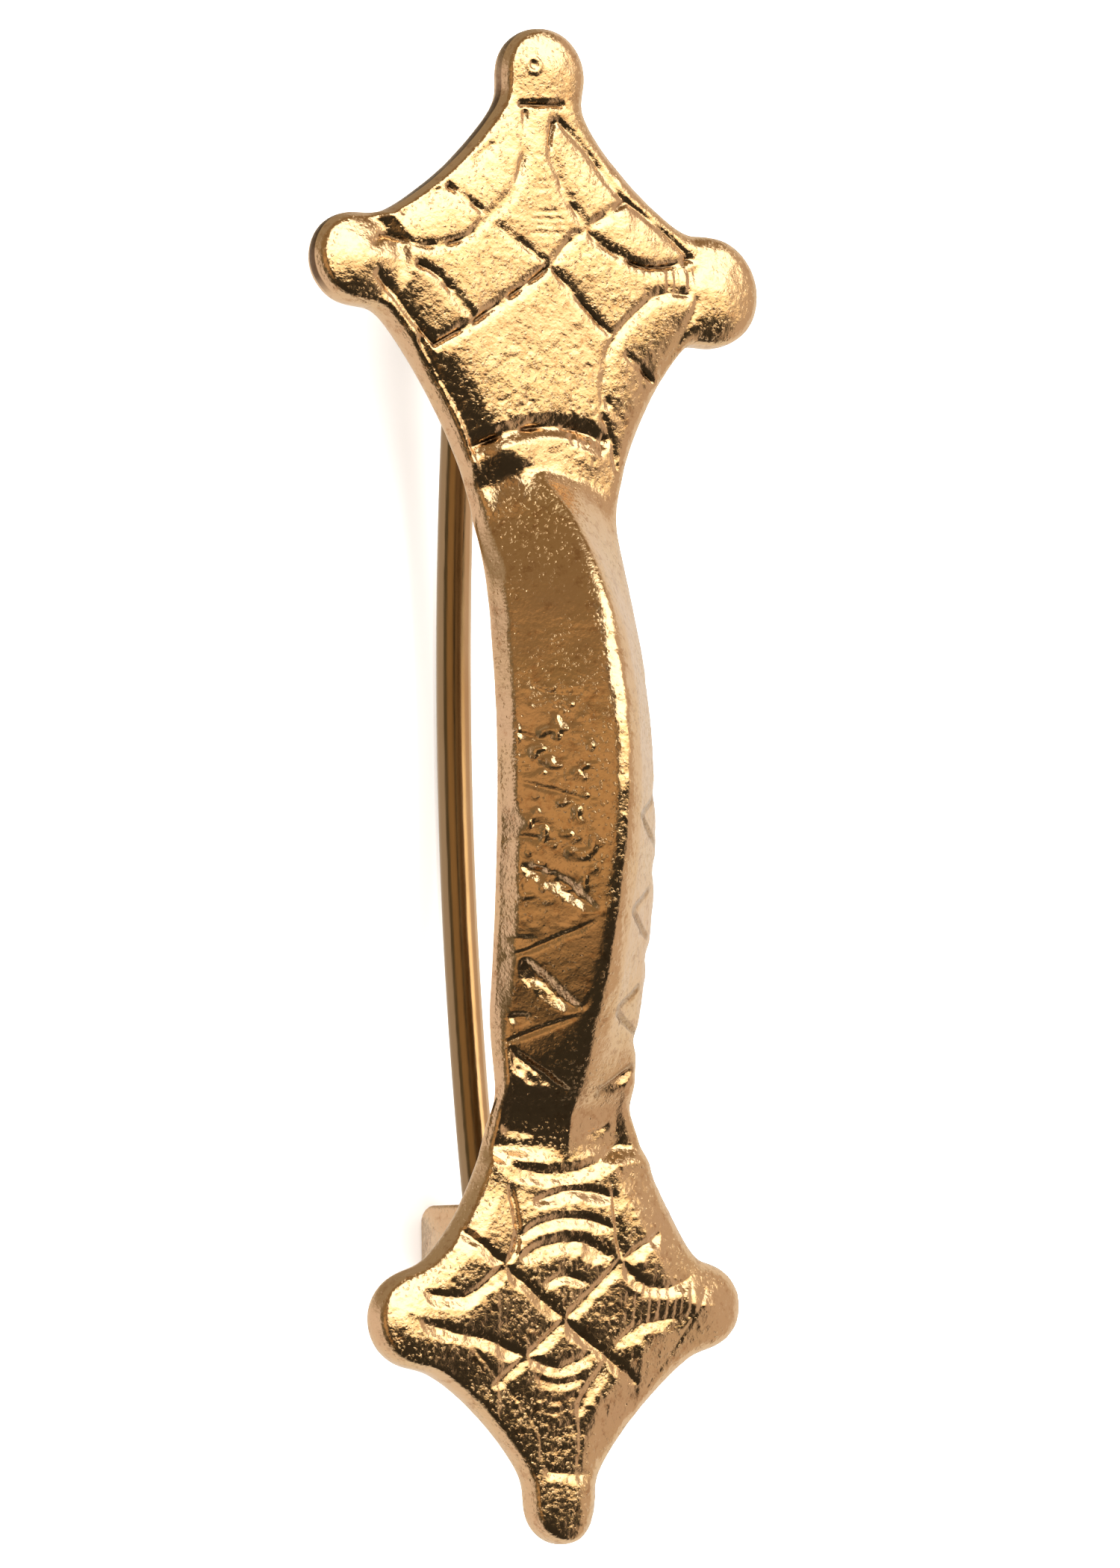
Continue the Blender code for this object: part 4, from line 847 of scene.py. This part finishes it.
def brassPin(material):
    p = pinShape
    line = pinLine()
    ahead = np.gradient(line[:, :2], axis=0)
    ahead /= np.hypot(*ahead.T)[:, None]
    (y, z, r), a = line[0], ahead[0]
    rows = [(y + a[0] * push, z + a[1] * push, r * share, a) for push, share in p["tipRound"]]
    rows += [(y, z, r, a) for (y, z, r), a in zip(line, ahead)]
    (y, z, r), a = line[-1], ahead[-1]
    rows += [(y + a[0] * push, z + a[1] * push, r - trim, a) for push, trim in p["endRound"]]
    verts = []
    for y, z, radius, a in rows:
        for k in range(p["sides"]):
            turn = 2.0 * math.pi * k / p["sides"]
            side = radius * math.cos(turn)
            verts.append((radius * math.sin(turn), y - side * a[1], z + side * a[0]))
    pin = pieceFromMesh("pin_wire", verts, tubeFaces(len(rows), p["sides"]), material)
    pin.data.set_sharp_from_angle(angle=math.radians(55))
    return pin


rivetShape = {"proud": 0.02, "headRadius": 1.0, "headHeight": 0.35, "headEdge": 0.06, "dents": 0.03,
              "sides": 40}


def peenedRivet(material):
    h = hinge
    v = rivetShape
    outer = h["wireRadius"] + h["sideGap"] + h["cheekThickness"] + v["proud"]
    half = [(h["rivetRadius"], 0.0), (h["rivetRadius"], outer), (v["headRadius"] - v["headEdge"], outer)]
    half.append((v["headRadius"], outer + v["headEdge"]))
    for angle in range(15, 90, 12):
        turn = math.radians(angle)
        rise = (v["headHeight"] - v["headEdge"]) * math.sin(turn)
        half.append((v["headRadius"] * math.cos(turn), outer + v["headEdge"] + rise))
    profile = [(radius, -x) for radius, x in reversed(half[1:])] + half[1:]
    verts = []
    for radius, x in profile:
        for k in range(v["sides"]):
            turn = 2.0 * math.pi * k / v["sides"]
            dent = 1.0 + v["dents"] * float(bumps(math.cos(turn) * 2.0 + x, math.sin(turn) * 2.0, 0.8, 81))
            reach = radius * (dent if abs(x) > outer + 0.5 * v["proud"] else 1.0)
            verts.append((x, h["rivetY"] + reach * math.cos(turn), rivetHeight() + reach * math.sin(turn)))
    rivet = pieceFromMesh("rivet_peened", verts, tubeFaces(len(profile), v["sides"]), material)
    rivet.data.set_sharp_from_angle(angle=math.radians(50))
    return rivet


# Materials

bronzeLook = {  # sizes in mm; a range is where a pattern starts and is full
    "fresh": "#ECCBAA", "golden": "#EECF9F", "dark": "#4A3420", "tarnish": "#B98A5E",
    "cloud": 2.6, "mottle": 0.55, "spotRange": (0.50, 0.72), "spotMost": 0.6,
    "soilAndShadeRange": (0.05, 0.14), "soilAndShadeMost": 0.85,
    "grain": 0.17, "grainRange": (0.35, 0.7), "roughness": (0.10, 0.22),
    "dot": 0.22, "dotWarp": 0.55, "dotRange": (0.05, 0.42), "dotHeight": 0.8,
    "clusterRange": (0.40, 0.58), "clusterLeast": 0.25,
    "pitsPerMm": 1.9, "pitRange": (0.03, 0.13), "pitDepth": 0.9, "bump": 0.016,
}
brassLook = {
    # shadedSide: the painted shade on the wire's left side
    "pale": "#EACFAC", "warm": "#D6AE80", "shadedSide": "#9A8462", "shadedSideRange": (0.02, -0.14), "shadedSideMost": 0.85,
    "cloud": 3.0, "streak": 0.1, "streakAlong": 0.04, "streakRange": (0.3, 0.7), "roughness": (0.12, 0.24),
    "bump": 0.004,
}


def bareMetal(name):  # a metal, its nodes, its shader and a place on the object in millimetres
    material = bpy.data.materials.new(name)
    material.use_nodes = True
    tree = material.node_tree
    shader = tree.nodes["Principled BSDF"]
    shader.inputs["Metallic"].default_value = 1.0
    place = addNode(tree, "ShaderNodeTexCoord")
    inMm = addNode(tree, "ShaderNodeVectorMath", {"operation": "SCALE"}, {0: place.outputs["Object"]},
                   {"Scale": 1.0 / mm})
    return material, tree, shader, inMm.outputs[0]


def fromTo(edges, low=0.0, high=1.0):  # what a pattern's range becomes
    return {"From Min": edges[0], "From Max": edges[1], "To Min": low, "To Max": high}


softEdged = {"interpolation_type": "SMOOTHSTEP"}


def castBronze():
    # Tin bronze, lost-wax cast and tumble polished: a warm mirror, grainy, darkened by soil in the cut lines
    # and by painted shade on the back, the slabs' steep sides and the head's upper left wall.
    look = bronzeLook
    material, tree, shader, where = bareMetal("tumblePolishedCastBronze")
    cloud = addNode(tree, "ShaderNodeTexNoise", {}, {"Vector": where},
                    {"Scale": 1.0 / look["cloud"], "Detail": 4.0})
    grain = addNode(tree, "ShaderNodeTexNoise", {}, {"Vector": where},
                    {"Scale": 1.0 / look["grain"], "Detail": 2.0})
    mottle = addNode(tree, "ShaderNodeTexNoise", {}, {"Vector": where},
                     {"Scale": 1.0 / look["mottle"], "Detail": 5.0, "Roughness": 0.7})

    # Tone clouds, thin tarnish in spots, soil at the bottom of the cut lines, and painted shade on the back,
    # the slabs' steep sides and the head's upper left wall.
    tint = addNode(tree, "ShaderNodeMix", {"data_type": "RGBA"}, {"Factor": cloud.outputs["Fac"]},
                   {"A": linearColour(look["fresh"]), "B": linearColour(look["golden"])})
    spot = addNode(tree, "ShaderNodeMapRange", softEdged, {"Value": mottle.outputs["Fac"]},
                   fromTo(look["spotRange"], 0.0, look["spotMost"]))
    spotted = addNode(tree, "ShaderNodeMix", {"data_type": "RGBA"},
                      {"Factor": spot.outputs[0], "A": tint.outputs["Result"]},
                      {"B": linearColour(look["tarnish"])})
    cut = addNode(tree, "ShaderNodeAttribute", {"attribute_name": "cut"})
    soilAndShadeShare = addNode(tree, "ShaderNodeMapRange", {}, {"Value": cut.outputs["Fac"]},
                     fromTo(look["soilAndShadeRange"], 0.0, look["soilAndShadeMost"]))
    base = addNode(tree, "ShaderNodeMix", {"data_type": "RGBA"},
                   {"Factor": soilAndShadeShare.outputs[0], "A": spotted.outputs["Result"]},
                   {"B": linearColour(look["dark"])})
    tree.links.new(base.outputs["Result"], shader.inputs["Base Color"])
    roughness = addNode(tree, "ShaderNodeMapRange", {}, {"Value": grain.outputs["Fac"]},
                        fromTo(look["grainRange"], *look["roughness"]))
    tree.links.new(roughness.outputs[0], shader.inputs["Roughness"])

    # Relief: fine grain, clusters of small uneven dots, and a few pits.
    warped = addNode(tree, "ShaderNodeVectorMath", {"operation": "MULTIPLY_ADD"},
                     {0: mottle.outputs["Color"], 2: where}, {1: (look["dotWarp"],) * 3})
    dot = addNode(tree, "ShaderNodeTexVoronoi", {"feature": "F1"}, {"Vector": warped.outputs[0]},
                  {"Scale": 1.0 / look["dot"], "Randomness": 1.0})
    dotShape = addNode(tree, "ShaderNodeMapRange", softEdged, {"Value": dot.outputs["Distance"]},
                       fromTo(look["dotRange"], look["dotHeight"], 0.0))
    cluster = addNode(tree, "ShaderNodeMapRange", softEdged, {"Value": cloud.outputs["Fac"]},
                      fromTo(look["clusterRange"], look["clusterLeast"], 1.0))
    dots = addNode(tree, "ShaderNodeMath", {"operation": "MULTIPLY"},
                   {0: dotShape.outputs[0], 1: cluster.outputs[0]})
    relief = addNode(tree, "ShaderNodeMath", {"operation": "ADD"},
                     {0: grain.outputs["Fac"], 1: dots.outputs[0]})
    pits = addNode(tree, "ShaderNodeTexVoronoi", {"feature": "F1"}, {"Vector": where},
                   {"Scale": look["pitsPerMm"], "Randomness": 1.0})
    pitShape = addNode(tree, "ShaderNodeMapRange", softEdged, {"Value": pits.outputs["Distance"]},
                       fromTo(look["pitRange"]))
    pitted = addNode(tree, "ShaderNodeMath", {"operation": "MULTIPLY_ADD"},
                     {0: pitShape.outputs[0], 2: relief.outputs[0]}, {1: look["pitDepth"]})
    bump = addNode(tree, "ShaderNodeBump", {}, {"Height": pitted.outputs[0]},
                   {"Strength": 1.0, "Distance": look["bump"] * mm})
    tree.links.new(bump.outputs[0], shader.inputs["Normal"])
    return material


def drawnBrass():
    # Brass wire, drawn through a die and rubbed bright: fine streaks along it, tone clouds, a soft mirror.
    look = brassLook
    material, tree, shader, where = bareMetal("drawnBrassWire")
    along = addNode(tree, "ShaderNodeVectorMath", {"operation": "MULTIPLY"}, {0: where},
                    {1: (1.0, look["streakAlong"], 1.0)})
    cloud = addNode(tree, "ShaderNodeTexNoise", {}, {"Vector": where},
                    {"Scale": 1.0 / look["cloud"], "Detail": 3.0})
    streak = addNode(tree, "ShaderNodeTexNoise", {}, {"Vector": along.outputs[0]},
                     {"Scale": 1.0 / look["streak"], "Detail": 2.0})
    tint = addNode(tree, "ShaderNodeMix", {"data_type": "RGBA"}, {"Factor": cloud.outputs["Fac"]},
                   {"A": linearColour(look["pale"]), "B": linearColour(look["warm"])})

    # Painted shade: the wire's left side is painted darker, and its right side keeps the bright colour.
    parts = addNode(tree, "ShaderNodeSeparateXYZ", {}, {0: where})
    left = addNode(tree, "ShaderNodeMapRange", softEdged, {"Value": parts.outputs["X"]},
                   fromTo(look["shadedSideRange"], 0.0, look["shadedSideMost"]))
    shown = addNode(tree, "ShaderNodeMix", {"data_type": "RGBA"},
                    {"Factor": left.outputs[0], "A": tint.outputs["Result"]},
                    {"B": linearColour(look["shadedSide"])})
    tree.links.new(shown.outputs["Result"], shader.inputs["Base Color"])
    roughness = addNode(tree, "ShaderNodeMapRange", {}, {"Value": streak.outputs["Fac"]},
                        fromTo(look["streakRange"], *look["roughness"]))
    tree.links.new(roughness.outputs[0], shader.inputs["Roughness"])
    bump = addNode(tree, "ShaderNodeBump", {}, {"Height": streak.outputs["Fac"]},
                   {"Strength": 1.0, "Distance": look["bump"] * mm})
    tree.links.new(bump.outputs[0], shader.inputs["Normal"])
    return material


def tableCard():
    # Matt white card, no shine.
    material = bpy.data.materials.new("mattWhiteCard")
    material.use_nodes = True
    shader = material.node_tree.nodes["Principled BSDF"]
    shader.inputs["Base Color"].default_value = linearColour("#F7F5F2")
    shader.inputs["Roughness"].default_value = 0.95
    shader.inputs["Specular IOR Level"].default_value = 0.1
    return material


# Camera, table and light

view = {"leanLeft": 30.0, "leanDown": -4.819, "roll": -1.061, "distance": 234.617, "aim": (-0.4, -0.35),
        "pixelsPerMm": 31.2, "frame": (1500, 2100), "axisPixel": (735.65, 1048.06)}


def photoCamera():
    v = view
    lean = math.radians(v["leanLeft"])
    down = math.radians(v["leanDown"])
    roll = math.radians(v["roll"])
    back = Vector((-math.sin(lean) * math.cos(down), math.sin(down), math.cos(lean) * math.cos(down)))
    right = Vector((0, 1, 0)).cross(back).normalized()
    up = back.cross(right)
    right, up = math.cos(roll) * right + math.sin(roll) * up, math.cos(roll) * up - math.sin(roll) * right
    data = bpy.data.cameras.new("photoCamera")
    camera = bpy.data.objects.new("photoCamera", data)
    bpy.context.scene.collection.objects.link(camera)
    turn = Matrix((right, up, back)).transposed().to_4x4()
    aim = Vector((v["aim"][0], v["aim"][1], faceHeight))
    camera.matrix_world = Matrix.Translation((aim + back * v["distance"]) * mm) @ turn
    data.sensor_fit = "VERTICAL"
    data.sensor_height = 24.0
    data.lens = 24.0 * v["pixelsPerMm"] * v["distance"] / v["frame"][1]
    data.shift_x = (0.5 * v["frame"][0] - v["axisPixel"][0]) / v["frame"][1]
    data.shift_y = (v["axisPixel"][1] - 0.5 * v["frame"][1]) / v["frame"][1]
    data.clip_start = 0.01
    bpy.context.scene.camera = camera


def softCard(name, towards, distance, size, radiance, colour):  # a soft square light that faces the brooch
    data = bpy.data.lights.new(name, "AREA")
    data.shape = "RECTANGLE"
    data.size, data.size_y = size
    data.energy = radiance * math.pi * size[0] * size[1]
    data.color = linearColour(colour)[:3]
    lamp = bpy.data.objects.new(name, data)
    bpy.context.scene.collection.objects.link(lamp)
    back = Vector(towards).normalized()
    level = Vector((1.0, 0.0, 0.0))
    right = (level - level.dot(back) * back).normalized()
    turn = Matrix((right, back.cross(right), back)).transposed().to_4x4()
    lamp.matrix_world = Matrix.Translation(back * distance) @ turn
    lamp.visible_glossy = False  # the metal mirrors the room's own softbox


room = {  # what the polished metal mirrors, by direction, in linear colours
    "ceiling": (0.035, 0.030, 0.022), "leftWall": (0.56, 0.35, 0.17), "leftLow": (0.18, 0.145, 0.09),
    "rightWall": (0.60, 0.465, 0.355), "farWall": (0.27, 0.18, 0.09),
    "floorNear": (0.84, 0.76, 0.67), "floorLeft": (0.80, 0.68, 0.61), "floorFar": (0.36, 0.29, 0.20),
    "softbox": ((0.0, (0.0, 0.0, 0.0)), (0.05, (0.42, 0.16, 0.04)), (0.12, (1.52, 1.20, 0.76)),
                (0.25, (1.85, 1.54, 1.06)), (0.40, (2.6, 2.4, 2.05)), (1.0, (3.0, 2.85, 2.5))),
    # where each takes over: along which axis, from and until
    "leftLowEdges": [("Z", 0.36, 0.16)], "leftEdges": [("X", -0.35, -0.72), ("Y", -0.80, 0.05)],
    "farEdges": [("Y", 0.1, 0.5), ("Z", 0.8, 0.5)], "rightEdges": [("X", 0.50, 0.76), ("Z", 0.97, 0.60)],
    "softboxEdges": [("X", -0.42, -0.22), ("X", 0.86, 0.60), ("Z", 0.53, 0.67), ("Y", 0.0, 0.05)],
    "floorLowEdges": [("Z", -0.25, -0.08)], "floorNearEdges": [("X", -0.7, 0.1)],
    "floorFarEdges": [("Y", 0.15, 0.6), ("X", 0.7, 0.2)], "horizon": [("Z", 0.12, -0.10)],
}
tableShape = {"half": 1.2, "wash": ((0.25, -0.10, 0.96), 0.7, (2.4, 2.4), 4.6, "#FFFFFF")}  # metres


def painted(tree, axes, below, above, edges):  # one colour of the room laid over another, past its edges
    factor = None
    for axis, start, full in edges:
        edge = addNode(tree, "ShaderNodeMapRange", softEdged, {"Value": axes[axis]}, fromTo((start, full)))
        if factor is not None:
            edge = addNode(tree, "ShaderNodeMath", {"operation": "MULTIPLY"}, {0: factor, 1: edge.outputs[0]})
        factor = edge.outputs[0]
    links = {"Factor": factor}
    values = {}
    for socket, colour in (("A", below), ("B", above)):
        if isinstance(colour, tuple):
            values[socket] = colour + (1.0,)
        else:
            links[socket] = colour
    return addNode(tree, "ShaderNodeMix", {"data_type": "RGBA"}, links, values).outputs["Result"]


def studio():
    r = room
    scene = bpy.context.scene
    scene.view_settings.view_transform = "Standard"
    scene.world = bpy.data.worlds.new("softboxRoom")
    scene.world.use_nodes = True
    tree = scene.world.node_tree
    where = addNode(tree, "ShaderNodeTexCoord")
    axes = addNode(tree, "ShaderNodeSeparateXYZ", {}, {0: where.outputs["Generated"]}).outputs

    # Walls: a brown one on the left, darker low down, a dim one past the head and a pale one on the right.
    leftWall = painted(tree, axes, r["leftWall"], r["leftLow"], r["leftLowEdges"])
    upper = painted(tree, axes, r["ceiling"], leftWall, r["leftEdges"])
    upper = painted(tree, axes, upper, r["farWall"], r["farEdges"])
    upper = painted(tree, axes, upper, r["rightWall"], r["rightEdges"])

    # The softbox past the head: orange at its lower edge, then cream, then white.
    ramp = addNode(tree, "ShaderNodeValToRGB", {}, {0: axes["Y"]})
    stops = ramp.color_ramp.elements
    allStops = [stops[0], stops[1]] + [stops.new(0.5) for _ in r["softbox"][2:]]
    for stop, (place, colour) in zip(allStops, r["softbox"]):
        stop.position = place
        stop.color = colour + (1.0,)
    upper = painted(tree, axes, upper, ramp.outputs[0], r["softboxEdges"])

    # The white table runs on below the horizon.
    floor = painted(tree, axes, r["floorLeft"], r["leftLow"], r["floorLowEdges"])
    floor = painted(tree, axes, floor, r["floorNear"], r["floorNearEdges"])
    floor = painted(tree, axes, floor, r["floorFar"], r["floorFarEdges"])
    seen = painted(tree, axes, upper, floor, r["horizon"])
    tree.links.new(seen, tree.nodes["Background"].inputs["Color"])

    softCard("tableWash", *tableShape["wash"])
    half = tableShape["half"]
    mesh = bpy.data.meshes.new("table")
    corners = [(-half, -half, 0), (half, -half, 0), (half, half, 0), (-half, half, 0)]
    mesh.from_pydata(corners, [], [(0, 1, 2, 3)])
    mesh.materials.append(tableCard())
    table = bpy.data.objects.new("table", mesh)
    table.visible_glossy = False  # the metal mirrors the room's even table, without this one's shadows
    scene.collection.objects.link(table)


photoCamera()
studio()
print("camera and light ready")

bronze = castBronze()
brass = drawnBrass()
body = broochBody(bronze)
catch = pinCatch(bronze)
for piece in [body, catch] + hingeCheeks(bronze):
    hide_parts("brooch")
    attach(piece, "casting")
wire = brassPin(brass)
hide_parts("pin")
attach(wire, "pin")
rivet = peenedRivet(brass)
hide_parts("rivet")
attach(rivet, "casting")
print("pieces dressed")
